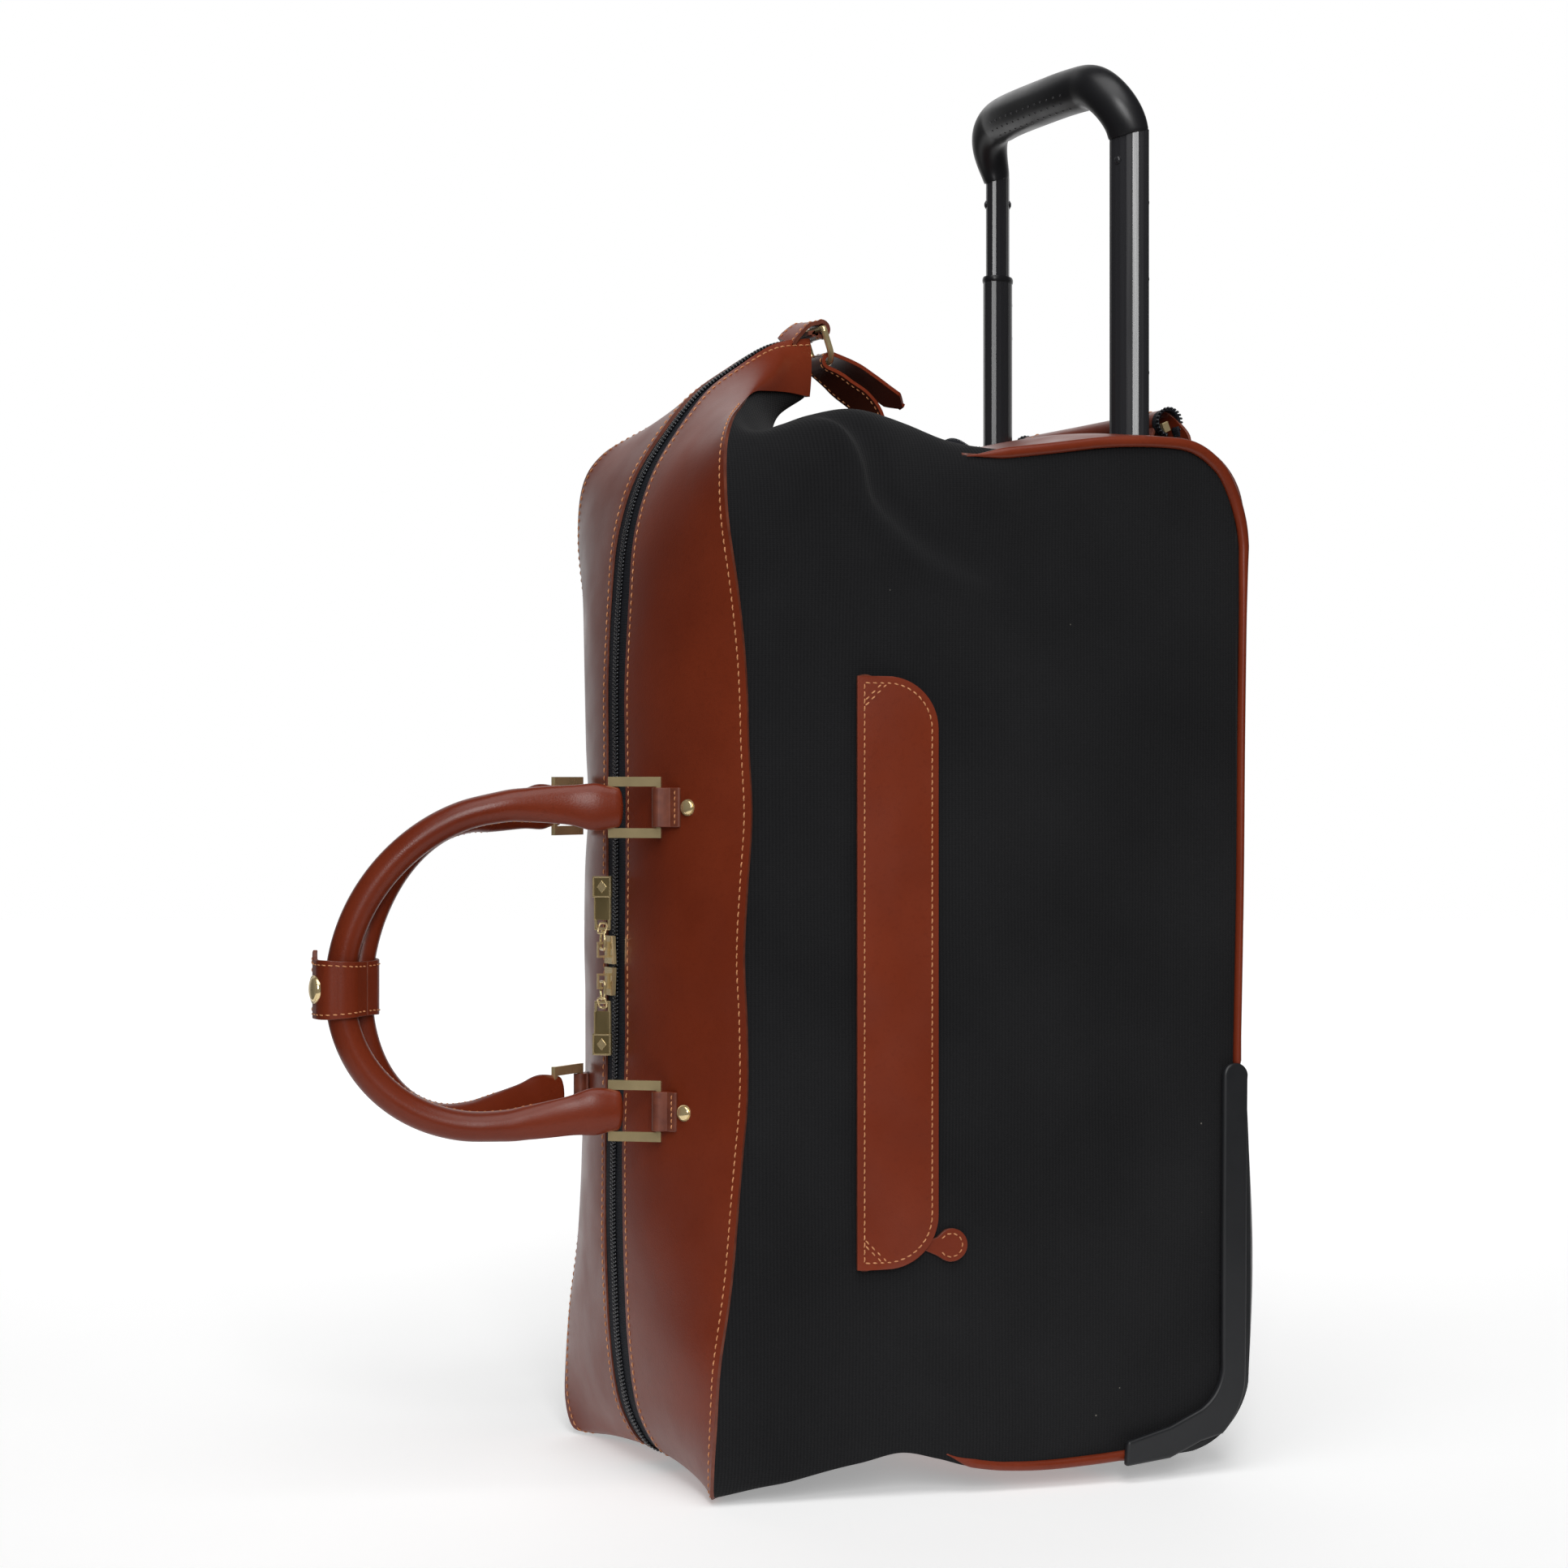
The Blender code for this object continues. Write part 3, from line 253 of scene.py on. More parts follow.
def piece(name, points, faces, look, body="root", edge=None, edge_faces=0, sharp=None):
    """A mesh that rides on a body, with its faces turned outwards.
    Its last edge_faces faces take the edge look."""
    mesh = bpy.data.meshes.new(name)
    mesh.from_pydata([tuple(p) for p in np.asarray(points).reshape(-1, 3)], [], faces)
    mesh.materials.append(look)
    if edge:
        mesh.materials.append(edge)
        for polygon in mesh.polygons[len(faces) - edge_faces:]:
            polygon.material_index = 1
    work = bmesh.new()
    work.from_mesh(mesh)
    bmesh.ops.recalc_face_normals(work, faces=work.faces)
    work.to_mesh(mesh)
    work.free()
    mesh.shade_smooth()
    if sharp:
        mesh.set_sharp_from_angle(angle=math.radians(sharp))
    obj = bpy.data.objects.new(name, mesh)
    bpy.context.scene.collection.objects.link(obj)
    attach(obj, body)
    return obj


def rounded(obj, width, segments=2, angle=35):
    """Rounds an object's edges."""
    modifier = obj.modifiers.new("rounded", "BEVEL")
    modifier.width = width
    modifier.segments = segments
    modifier.limit_method = "ANGLE"
    modifier.angle_limit = math.radians(angle)
    modifier.harden_normals = True
    return obj


def slab(name, grid, thickness, look, outward, body="root", edge=None, round_by=0.0):
    """A thick curved sheet, closed all round. The grid is its outer side, which faces outward overall."""
    rows, columns = grid.shape[:2]
    normals = grid_normals(grid)
    if (normals * np.asarray(outward, float)).sum() < 0:
        normals = -normals
    inner = grid - normals * thickness
    count = rows * columns
    faces = grid_faces(rows, columns)
    faces += [tuple(count + k for k in reversed(face)) for face in faces]
    rim = list(range(columns)) + [i * columns + columns - 1 for i in range(1, rows)]
    rim += [(rows - 1) * columns + j for j in range(columns - 2, -1, -1)]
    rim += [i * columns for i in range(rows - 2, 0, -1)]
    rim_faces = [(b, a, count + a, count + b) for a, b in zip(rim, rim[1:] + rim[:1])]
    points = np.concatenate([grid.reshape(-1, 3), inner.reshape(-1, 3)])
    made = piece(name, points, faces + rim_faces, look, body, edge, len(rim_faces))
    if round_by:
        rounded(made, round_by, 2, 50)
    return made


def sweep(name, path, semi, reference, look, body="root", sides=20, closed=False, domes=0.0):
    """A tube of oval section along a path. semi is its half-size across and along the reference direction.
    domes rounds its two ends over that length."""
    path = np.asarray(path, float)
    semi = np.broadcast_to(np.asarray(semi, float), (len(path), 2))
    if domes:
        turns = np.radians([80, 60, 40, 20])[:, None]
        reach, size = domes * np.sin(turns), np.cos(turns)
        before = path[0] + unit(path[0] - path[1]) * reach
        after = path[-1] + unit(path[-1] - path[-2]) * reach[::-1]
        path = np.concatenate([before, path, after])
        semi = np.concatenate([semi[0] * size, semi, semi[-1] * size[::-1]])
    if closed:
        tangent = unit(np.roll(path, -1, axis=0) - np.roll(path, 1, axis=0))
    else:
        tangent = unit(np.gradient(path, axis=0))
    reference = np.broadcast_to(np.asarray(reference, float), path.shape)
    thick = unit(reference - tangent * (reference * tangent).sum(axis=1, keepdims=True))
    wide = np.cross(tangent, thick)
    turn = full_turn(sides)[None, :, None]
    rings = (path[:, None] + np.cos(turn) * (semi[:, :1] * wide)[:, None]
             + np.sin(turn) * (semi[:, 1:] * thick)[:, None])
    faces = grid_faces(len(path), sides, wrap=True, closed=closed)
    if not closed:
        faces += end_faces(len(path), sides)
    return piece(name, rings, faces, look, body)


def plate(name, outline, depth, place, look, body="root", round_by=0.0, segments=2, edge=None):
    """An outline pushed along its normal. place(u, v, w) gives the point in the frame."""
    count = len(outline)
    points = [place(u, v, w) for w in (0.0, depth) for u, v in outline]
    faces = [tuple(range(count)), tuple(range(2 * count - 1, count - 1, -1))]
    faces += [(k, (k + 1) % count, count + (k + 1) % count, count + k) for k in range(count)]
    made = piece(name, points, faces, look, body, edge, count, sharp=40)
    if round_by:
        rounded(made, round_by, segments)
    return made


def turned(name, profile, centre, axis, look, body="root", sides=48, sharp=40):
    """A solid of revolution. The profile is (height along the axis, radius); where it starts and ends at
    radius 0 it closes itself, otherwise it is a closed loop round a bore."""
    axis = unit(np.asarray(axis, float))
    helper = np.array((0.0, 0.0, 1.0)) if abs(axis[2]) < 0.9 else np.array((1.0, 0.0, 0.0))
    across = unit(np.cross(axis, helper))
    up = np.cross(across, axis)
    centre = np.asarray(centre, float)
    solid = profile[0][1] == 0
    rings = profile[1:-1] if solid else profile
    points = [centre + axis * h + r * (math.cos(a) * across + math.sin(a) * up)
              for h, r in rings for a in full_turn(sides)]
    faces = grid_faces(len(rings), sides, wrap=True, closed=not solid)
    if solid:
        points += [centre + axis * profile[0][0], centre + axis * profile[-1][0]]
        faces += fan(0, sides, len(points) - 2) + fan((len(rings) - 1) * sides, sides, len(points) - 1)
    return piece(name, points, faces, look, body, sharp=sharp)


def block(name, centre, half, axes, look, body="root", round_by=0.0004, segments=2):
    """A box about a centre, along three directions."""
    along, across, up = (np.asarray(a, float) for a in axes)
    outline = [(-half[0], -half[1]), (half[0], -half[1]), (half[0], half[1]), (-half[0], half[1])]

    def place(u, v, w):
        return centre + u * along + v * across + (w - half[2]) * up
    return plate(name, outline, 2 * half[2], place, look, body, round_by, segments)


def capsules(name, centres, axes, ups, half_length, radius, look, body="root", sink=0.0):
    """Many small round-ended bars in one mesh. sink lowers their ends, as where thread enters leather."""
    centres, axes, ups = (np.asarray(a, float) for a in (centres, unit(axes), unit(ups)))
    sideways = np.cross(axes, ups)
    stations = ((-1.0, 0.3), (-0.82, 0.8), (0.0, 1.0), (0.82, 0.8), (1.0, 0.3))
    sides = 6
    turn = full_turn(sides)[None, :, None]
    rings = []
    for share, size in stations:
        middle = centres + axes * half_length * share - ups * sink * share ** 2
        across = np.cos(turn) * sideways[:, None] + np.sin(turn) * ups[:, None]
        rings.append(middle[:, None] + radius * size * across)
    one = grid_faces(len(stations), sides, wrap=True) + end_faces(len(stations), sides)
    count = len(stations) * sides
    faces = [tuple(k * count + v for v in face) for k in range(len(centres)) for face in one]
    return piece(name, np.stack(rings, axis=1), faces, look, body)


def stitches(name, lines, body="root", pitch=0.0045, length=0.0033, radius=0.00045):
    """Rows of thread. Each line is its points and the leather's normals there."""
    found = []
    for points, normals in lines:
        points = np.asarray(points, float)
        total = lengths(points)[-1]
        count = max(int(total / pitch), 1)
        places = (np.arange(count) + 0.5) * total / count
        middle, along, up = run_along(points, np.broadcast_to(normals, points.shape), places, 0.0008)
        found.append((middle + up * radius * 0.55, along + 0.1 * np.cross(along, up), up))
    capsules(name, *map(np.concatenate, zip(*found)), length / 2, radius, THREAD, body, sink=0.0005)


def teeth(name, path, normals, body="root", rows=((0.0, 0.0),), reach=0.0013, radius=0.0008):
    """Rows of a zip's coil along a path, each row offset sideways and by a share of the pitch."""
    found = []
    for offset, shift in rows:
        places = np.arange(COIL_PITCH * (0.5 + shift), lengths(path)[-1] - COIL_PITCH / 2, COIL_PITCH)
        middle, along, up = run_along(path, normals, places, 0.001)
        across = unit(np.cross(along, up))
        found.append((middle + across * offset + up * radius * 0.5, across + 0.18 * along, up))
    capsules(name, *map(np.concatenate, zip(*found)), reach, radius, TOOTH, body, sink=0.0003)


def dome(name, point, direction, radius, height, look, body="root", rim=0.0):
    """Domed rivet head or snap cap, with an optional turned-down rim."""
    profile = [(-0.001, 0.0), (-0.001, radius), (height * 0.2, radius)]
    if rim:
        profile += [(height * 0.34, radius * 0.97), (height * 0.3, radius * (1 - rim))]
    profile += [(height * (0.3 + 0.7 * math.sin(math.radians(a))),
                 radius * (1 - rim) * math.cos(math.radians(a)))
                for a in (15, 30, 45, 60, 75)] + [(height, 0.0)]
    return turned(name, profile, point, direction, look, body, sides=32, sharp=60)


def settled(obj):
    """Applies an object's modifiers."""
    bpy.context.view_layer.update()
    evaluated = obj.evaluated_get(bpy.context.evaluated_depsgraph_get())
    mesh = bpy.data.meshes.new_from_object(evaluated)
    obj.modifiers.clear()
    obj.data = mesh
    return obj


def cut(obj, cutter):
    """Cuts one object out of another, and removes the cutter."""
    modifier = obj.modifiers.new("cut", "BOOLEAN")
    modifier.operation = "DIFFERENCE"
    modifier.solver = "EXACT"
    modifier.object = cutter
    settled(obj)
    bpy.data.objects.remove(cutter)
    return obj


# ---- Materials ----

class Look:
    """One material, with short names for the nodes that it is built from."""

    def __init__(self, name, slot, base, roughness, **sockets):
        self.made = bpy.data.materials.new(name)
        self.made.use_nodes = True
        self.made["slot"] = slot
        self.tree = self.made.node_tree
        self.shader = self.tree.nodes["Principled BSDF"]
        self.set("Base Color", (*base, 1.0))
        self.set("Roughness", roughness)
        for socket, value in sockets.items():
            self.set(socket.replace("_", " "), value)
        self.coordinates = self.tree.nodes.new("ShaderNodeTexCoord").outputs["Object"]
        self.normal = None

    def set(self, socket, value):
        self.shader.inputs[socket].default_value = value

    def link(self, output, target):
        self.tree.links.new(output, target)

    def noise(self, scale, detail=3.0, stretch=(1, 1, 1)):
        mapping = self.tree.nodes.new("ShaderNodeMapping")
        mapping.inputs["Scale"].default_value = stretch
        self.link(self.coordinates, mapping.inputs["Vector"])
        made = self.tree.nodes.new("ShaderNodeTexNoise")
        made.inputs["Scale"].default_value = scale
        made.inputs["Detail"].default_value = detail
        self.link(mapping.outputs["Vector"], made.inputs["Vector"])
        return made.outputs["Fac"]

    def cells(self, scale, feature="F1"):
        made = self.tree.nodes.new("ShaderNodeTexVoronoi")
        made.feature = feature
        made.inputs["Scale"].default_value = scale
        self.link(self.coordinates, made.inputs["Vector"])
        return made.outputs["Distance"]

    def ribs(self, pitch, direction):
        """Straight ribs of this pitch, in metres."""
        made = self.tree.nodes.new("ShaderNodeTexWave")
        made.bands_direction = direction
        made.inputs["Scale"].default_value = math.pi / (10 * pitch)
        made.inputs["Distortion"].default_value = 0.4
        made.inputs["Detail"].default_value = 1.0
        made.inputs["Detail Scale"].default_value = 3.0
        self.link(self.coordinates, made.inputs["Vector"])
        return made.outputs["Fac"]

    def spread(self, value, low, high, out_low=0.0, out_high=1.0):
        made = self.tree.nodes.new("ShaderNodeMapRange")
        for socket, number in (("From Min", low), ("From Max", high), ("To Min", out_low),
                               ("To Max", out_high)):
            made.inputs[socket].default_value = number
        self.link(value, made.inputs["Value"])
        return made.outputs["Result"]

    def add(self, first, second, weight=1.0):
        made = self.tree.nodes.new("ShaderNodeMath")
        made.operation = "MULTIPLY_ADD"
        made.inputs[1].default_value = weight
        self.link(second, made.inputs[0])
        self.link(first, made.inputs[2])
        return made.outputs["Value"]

    def colour(self, share, first, second, under=None):
        """Base colour from first to second as share rises, over any colour made before."""
        made = self.tree.nodes.new("ShaderNodeMix")
        made.data_type = "RGBA"
        made.inputs["A"].default_value = (*first, 1.0)
        made.inputs["B"].default_value = (*second, 1.0)
        self.link(share, made.inputs["Factor"])
        if under:
            self.link(under, made.inputs["A"])
        self.link(made.outputs["Result"], self.shader.inputs["Base Color"])
        return made.outputs["Result"]

    def roughness(self, value):
        self.link(value, self.shader.inputs["Roughness"])

    def bump(self, height, strength, distance):
        made = self.tree.nodes.new("ShaderNodeBump")
        made.inputs["Strength"].default_value = strength
        made.inputs["Distance"].default_value = distance
        self.link(height, made.inputs["Height"])
        if self.normal:
            self.link(self.normal, made.inputs["Normal"])
        self.normal = made.outputs["Normal"]
        self.link(self.normal, self.shader.inputs["Normal"])


def leather(name, base, worn, roughness):
    """Smooth drum-dyed hide: broad changes of tone, fine pores and a satin finish."""
    made = Look(name, "leather", base, roughness, Specular_IOR_Level=0.26)
    tone = made.spread(made.noise(14.0, 4.0), 0.35, 0.68)
    shade = made.colour(tone, base, worn)
    speck = made.spread(made.noise(420.0, 2.0), 0.55, 0.8, 0.0, 0.35)
    made.colour(speck, base, tuple(0.72 * c for c in base), under=shade)
    made.roughness(made.spread(made.noise(30.0, 5.0), 0.3, 0.7, roughness - 0.05, roughness + 0.07))
    made.bump(made.noise(55.0, 3.0), 0.1, 0.001)
    pores = made.add(made.cells(1100.0), made.noise(900.0, 2.0), 0.6)
    made.bump(pores, 0.1, 0.00035)
    return made.made


def canvas(name, direction):
    """Heavy ribbed cotton: ribs one way, finer threads the other, a dusty nap and a few specks of lint."""
    base = (0.0105, 0.0105, 0.0115)
    made = Look(name, "canvas", base, 0.94, Specular_IOR_Level=0.12, Sheen_Weight=0.035, Sheen_Roughness=0.6)
    ribs = made.ribs(0.0019, direction)
    threads = made.ribs(0.0011, "Z")
    tone = made.spread(made.add(made.noise(9.0, 4.0), ribs, 0.25), 0.35, 0.95)
    shade = made.colour(tone, (0.0055, 0.0055, 0.0062), (0.0125, 0.0125, 0.0135))
    lint = made.spread(made.cells(38.0), 0.014, 0.02, 1.0, 0.0)
    made.colour(lint, base, (0.16, 0.15, 0.13), under=shade)
    weave = made.add(ribs, threads, 0.45)
    made.bump(made.add(weave, made.noise(1300.0, 2.0), 0.5), 0.42, 0.00055)
    return made.made


def zip_tape():
    """Woven zip tape with a herringbone rib."""
    made = Look("zip_tape", "zip", (0.0075, 0.0085, 0.013), 0.8, Specular_IOR_Level=0.3)
    weave = made.add(made.ribs(0.001, "Z"), made.ribs(0.0012, "Y"), 0.8)
    made.colour(made.spread(weave, 0.3, 1.5), (0.006, 0.007, 0.011), (0.0125, 0.014, 0.02))
    made.bump(weave, 0.5, 0.0004)
    return made.made


def plain(name, slot, base, roughness, bump, tone=None, polish=None, **sockets):
    """A material in up to three layers of noise, each given as its noise and its range. tone ends with two
    colours, polish with two roughnesses, and bump is its noise, strength and depth."""
    made = Look(name, slot, base, roughness, **sockets)
    if tone:
        scale, low, high, first, second = tone
        made.colour(made.spread(made.noise(*scale), low, high), first, second)
    if polish:
        scale, low, high, *rough = polish
        made.roughness(made.spread(made.noise(*scale), low, high, *rough))
    scale, strength, depth = bump
    made.bump(made.noise(*scale), strength, depth)
    return made.made


def gold(name, base, roughness):
    """Light gold plate, polished, with a faint grain and handling marks."""
    return plain(name, "gold", base, roughness, ((500, 2), 0.05, 0.0003),
                 ((60, 4), 0.35, 0.7, base, tuple(0.86 * c for c in base)),
                 ((220, 4, (1, 1, 0.3)), 0.35, 0.7, roughness - 0.05, roughness + 0.09), Metallic=0.72)


def moulding(name, base, roughness, grain=900, strength=0.14):
    """Moulded plastic with a fine spark-eroded texture."""
    return plain(name, "moulding", base, roughness, ((grain, 3), strength, 0.0003),
                 ((20, 4), 0.3, 0.7, base, tuple(1.25 * c for c in base)),
                 ((45, 5), 0.3, 0.7, roughness - 0.05, roughness + 0.06), Specular_IOR_Level=0.38)


LEATHER = leather("cognac_leather", (0.142, 0.02, 0.0062), (0.18, 0.0275, 0.009), 0.34)
HANDLE_LEATHER = leather("handle_leather", (0.135, 0.019, 0.006), (0.165, 0.025, 0.0084), 0.3)
# Painted shade: a darkened copy of the leather for the closing strap, which lies in shade over the black
# canvas
SHADED_STRAP_LEATHER = leather("strap_leather_painted_shade", (0.04, 0.011, 0.006), (0.075, 0.018, 0.009), 0.3)
EDGE = plain("leather_edge", "leather", (0.105, 0.022, 0.01), 0.5, ((600,), 0.2, 0.0003),
             ((160,), 0.35, 0.7, (0.105, 0.022, 0.01), (0.165, 0.04, 0.018)))
THREAD = plain("thread", "leather", (0.52, 0.215, 0.085), 0.62, ((2600, 1, (1, 1, 0.4)), 0.5, 0.0003),
               ((350,), 0.3, 0.7, (0.44, 0.165, 0.06), (0.62, 0.285, 0.125)))
CANVAS = canvas("ribbed_canvas", "X")
BACK_CANVAS = canvas("ribbed_canvas_back", "Y")
TAPE = zip_tape()
TOOTH = plain("zip_coil", "zip", (0.01, 0.011, 0.014), 0.22, ((900,), 0.1, 0.0002),
              polish=((300,), 0.3, 0.7, 0.18, 0.32), Specular_IOR_Level=0.6)
GOLD = gold("light_gold", (0.8, 0.63, 0.34), 0.13)
OLD_GOLD = gold("olive_gold", (0.25, 0.19, 0.085), 0.33)
GRIP_PLASTIC = moulding("grip_plastic", (0.0082, 0.0082, 0.0094), 0.36, 700, 0.04)
GUARD_PLASTIC = moulding("guard_plastic", (0.01, 0.0104, 0.0118), 0.44)
TUBE = plain("black_anodised", "tube", (0.018, 0.018, 0.0205), 0.27, ((700, 3, (1, 1, 0.02)), 0.015, 0.0001),
             polish=((700, 3, (1, 1, 0.02)), 0.3, 0.7, 0.25, 0.31), Specular_IOR_Level=0.6)
STEEL = plain("axle_steel", "axle", (0.58, 0.58, 0.58), 0.3, ((800,), 0.06, 0.0002),
              polish=((500, 3, (1, 0.1, 1)), 0.3, 0.7, 0.24, 0.42), Metallic=1.0)
RUBBER = plain("tyre_rubber", "tyre", (0.018, 0.018, 0.019), 0.75, ((650, 3), 0.25, 0.0003),
               ((70, 4), 0.35, 0.7, (0.016, 0.016, 0.017), (0.04, 0.038, 0.036)))


def finish_node(name, look, round_by=0.0, segments=2, angle=35):
    """Gives a carried-over CAD node its material and rounds its edges."""
    obj = NODES[name]
    obj.data.materials.clear()
    obj.data.materials.append(look)
    if round_by:
        rounded(obj, round_by, segments, angle)
    return obj


# ---- Canvas body ----

def near_far(grid, side):
    """A near-side grid, mirrored to the far side if side is 1."""
    found = np.array(grid, float)
    found[..., 1] *= -side
    return found


def seam_rings(count):
    """Two half-rings that carry the canvas under the leather at the front seam: the tuck, then the edge."""
    panel = front_grid(-1)
    edge = panel[::-1, -1]
    normals = outward_normals(panel, (-1, 0, 0.1))[::-1, -1]
    across = unit(panel[:, -1] - panel[:, -4])[::-1]
    path = np.concatenate([[(-0.04, 0.0, 0.003), (-0.044, -0.055, 0.002)], edge, [(0.0285, 0.0, 0.617)]])
    normals = np.concatenate([[(0, 0, -1)] * 2, normals, [(1, 0, 0)]])
    across = np.concatenate([[(1, 0, 0)] * 2, across, [(-0.7, 0, -0.7)]])
    along = lengths(path)
    inner = [along[np.linalg.norm(path - point, axis=1).argmin()] for point in BODY_RINGS[0][1:-1]]
    marks = np.array([0.0, *inner, along[-1]])[:, None]
    places = np.clip(np.maximum.accumulate(refine(marks, count)[:, 0]), 0, along[-1])
    path, normals, across = (interpolated(places, along, values) for values in (path, normals, across))
    normals, across = unit(normals), unit(across)
    return path - normals * 0.0042 - across * 0.006, path - normals * 0.0019


def body_half(rows, columns):
    """Near half of the canvas body's outside: rows from front to back, columns from bottom to top middle."""
    rings = [refine(ring, columns) for ring in BODY_RINGS]
    return refine(np.stack([*seam_rings(columns)] + rings), rows)


def fold_height(points, side):
    """Height of the diagonal fold and the slack round it at each point of one side."""
    flat = points[..., (0, 2)].reshape(-1, 2)
    path = curve(SIDE_FOLD + (0.0 if side < 0 else 0.004), 90)
    offset = flat[:, None] - path[None]
    distance = np.linalg.norm(offset, axis=2)
    nearest = distance.argmin(axis=1)
    rows = np.arange(len(flat))
    tangent, delta = np.gradient(path, axis=0)[nearest], offset[rows, nearest]
    signed = distance[rows, nearest] * np.sign(tangent[:, 0] * delta[:, 1] - tangent[:, 1] * delta[:, 0])
    share = nearest / (len(path) - 1)
    strength = (1 - share) ** 0.8 * smooth_step(share, -0.1, 0.12)
    ridge = 0.0066 * np.exp(-(signed / np.where(signed < 0, 0.011, 0.0038)) ** 2)
    valley = -0.005 * np.exp(-((signed - 0.011) / 0.008) ** 2)
    return ((ridge + valley) * strength).reshape(points.shape[:-1])


def canvas_body():
    """One sewn canvas shell: both sides, the drawn-in top end and the bottom end."""
    rows, half_columns = 150, 190
    near = body_half(rows, half_columns)
    far = near_far(near, 1)[:, ::-1][:, 1:-1]
    grid = np.concatenate([near, far], axis=1)
    normals = grid_normals(grid, wrap=True)
    if normals[:, half_columns // 2, 1].mean() > 0:
        normals = -normals
    x, y, z = grid[..., 0], grid[..., 1], grid[..., 2]
    on_side = smooth_step(np.abs(y), 0.095, 0.118) * smooth_step(x, -0.05, -0.03)
    away = smooth_step(BACK_X - x, 0.004, 0.05)
    fold = np.where(y < 0, fold_height(grid, -1), fold_height(grid, 1))
    slack = 0.0016 * lumps(grid, 11.0) + 0.0006 * lumps(grid, 31.0, 4.0)
    puckers = 0.0005 * np.sin(z * 210 + 3 * lumps(grid, 20.0, 7.0)) * np.exp(-((x + 0.05) / 0.02) ** 2)
    rise = on_side * (fold + puckers) + slack * away * smooth_step(x, -0.055, -0.02)
    grid = grid + normals * rise[..., None]
    columns = grid.shape[1]
    hubs = [(-0.055, 0.0, 0.56), (0.2, 0.0, 0.3)]
    faces = grid_faces(rows, columns, wrap=True) + fan(0, columns, rows * columns)
    faces += fan((rows - 1) * columns, columns, rows * columns + 1)
    made = piece("canvas_body", np.concatenate([grid.reshape(-1, 3), hubs]), faces, CANVAS)
    slot = block("tube_slot", np.array((0.2055, 0.0, 0.325)), (0.0195, 0.0965, 0.297), AXES, CANVAS,
                 round_by=0.0)
    cut(made, slot)
    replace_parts(made, "near_side_panel", "far_side_panel", "top_gusset", "bottom_gusset", "beak_gusset")


def tape_half(share):
    """Half the zip tape's visible width, which narrows towards the upper end."""
    return TAPE_HALF * (0.5 + 0.5 * np.minimum(1.0, share * 5))


def front_grid(side, rows=260, columns=30):
    """Outside of a leather front panel, from its zip edge to its seam."""
    zip_edge = refine(ZIP_LINE, rows)
    seam = refine(SEAM_LINE, rows)
    edge_y = -tape_half(np.linspace(0, 1, rows))
    start = coords(zip_edge[:, 0] + 0.0008, edge_y, zip_edge[:, 1])
    crown = coords(zip_edge[:, 0] + 0.002, 0.6 * seam[:, 1] + 0.4 * edge_y,
                   0.55 * zip_edge[:, 1] + 0.45 * seam[:, 2])
    w = np.linspace(0, 1, columns)[None, :, None]
    grid = start[:, None] * (1 - w) ** 2 + crown[:, None] * 2 * w * (1 - w) + seam[:, None] * w ** 2
    for height in RING_HEIGHTS.values():
        away = (grid[..., 2] - height) ** 2 + (grid[..., 1] + 0.062) ** 2
        grid[..., 0] += 0.0016 * np.exp(-away / 0.022 ** 2)
    grid[..., 0] += 0.0009 * lumps(grid, 16.0, 2.0 * side)
    return near_far(grid, side)


def outward_normals(grid, outward):
    normals = grid_normals(grid)
    return normals if (normals * np.asarray(outward, float)).sum() > 0 else -normals


def inset(grid, normals, distance, from_last=False):
    """Line on a grid at this distance in from its first or last column, with its normals."""
    if from_last:
        grid, normals = grid[:, ::-1], normals[:, ::-1]
    reach = [lengths(row) for row in grid]
    return tuple(np.array([interpolated(distance, r, row) for r, row in zip(reach, values)])
                 for values in (grid, normals))


def front_panels():
    for name, side in SIDES.items():
        grid = front_grid(side)
        made = slab(name + "_front_leather", grid, 0.003, LEATHER, (-1, 0, 0.1), edge=EDGE, round_by=0.0007)
        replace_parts(made, name + "_leather_panel")
        normals = outward_normals(grid, (-1, 0, 0.1))
        points, up = inset(grid, normals, 0.0042, from_last=True)
        lines = [inset(grid, normals, 0.004), (points[44:], up[44:])]
        stitches(name + "_front_stitching", lines)


def main_zip():
    """Two woven tapes that meet under the coil."""
    share = np.linspace(0.004, 0.985, 240)
    line = refine(ZIP_LINE, 1200)
    centre = at_lengths(line, share * lengths(line)[-1])
    along = unit(np.gradient(centre, axis=0))
    inward = coords(-along[:, 1], along[:, 0]) * 0.0016
    sunk = centre + inward
    for name, side in SIDES.items():
        edge = tape_half(share) - 0.0006 - 0.0022 * np.maximum(0.0, 1 - 4 * share)
        grid = np.stack([coords(sunk[:, 0], side * (0.0003 + (edge - 0.0003) * k / 6), sunk[:, 1])
                         for k in range(7)], axis=1)
        made = slab(name + "_woven_tape", grid, 0.0011, TAPE, (-1, 0, 0.05))
        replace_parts(made, name + "_zip_tape")
    path = centre + inward * 0.6
    teeth("main_zip_coil", coords(path[:, 0], 0, path[:, 1]), coords(-inward[:, 0], 0, -inward[:, 1]),
          rows=((-0.0014, 0.0), (0.0014, 0.5)), reach=0.0018, radius=0.001)


# ---- Leather ends and piping ----

def crown_of(x, y):
    """How far the upper leather cap rises above its edge."""
    half = side_y(x)
    rise = 0.25 + 0.75 * smooth_step(x, 0.08, 0.18)
    return 0.0135 * rise * (1 - np.abs(np.clip(y / half, -1, 1)) ** 2.6)


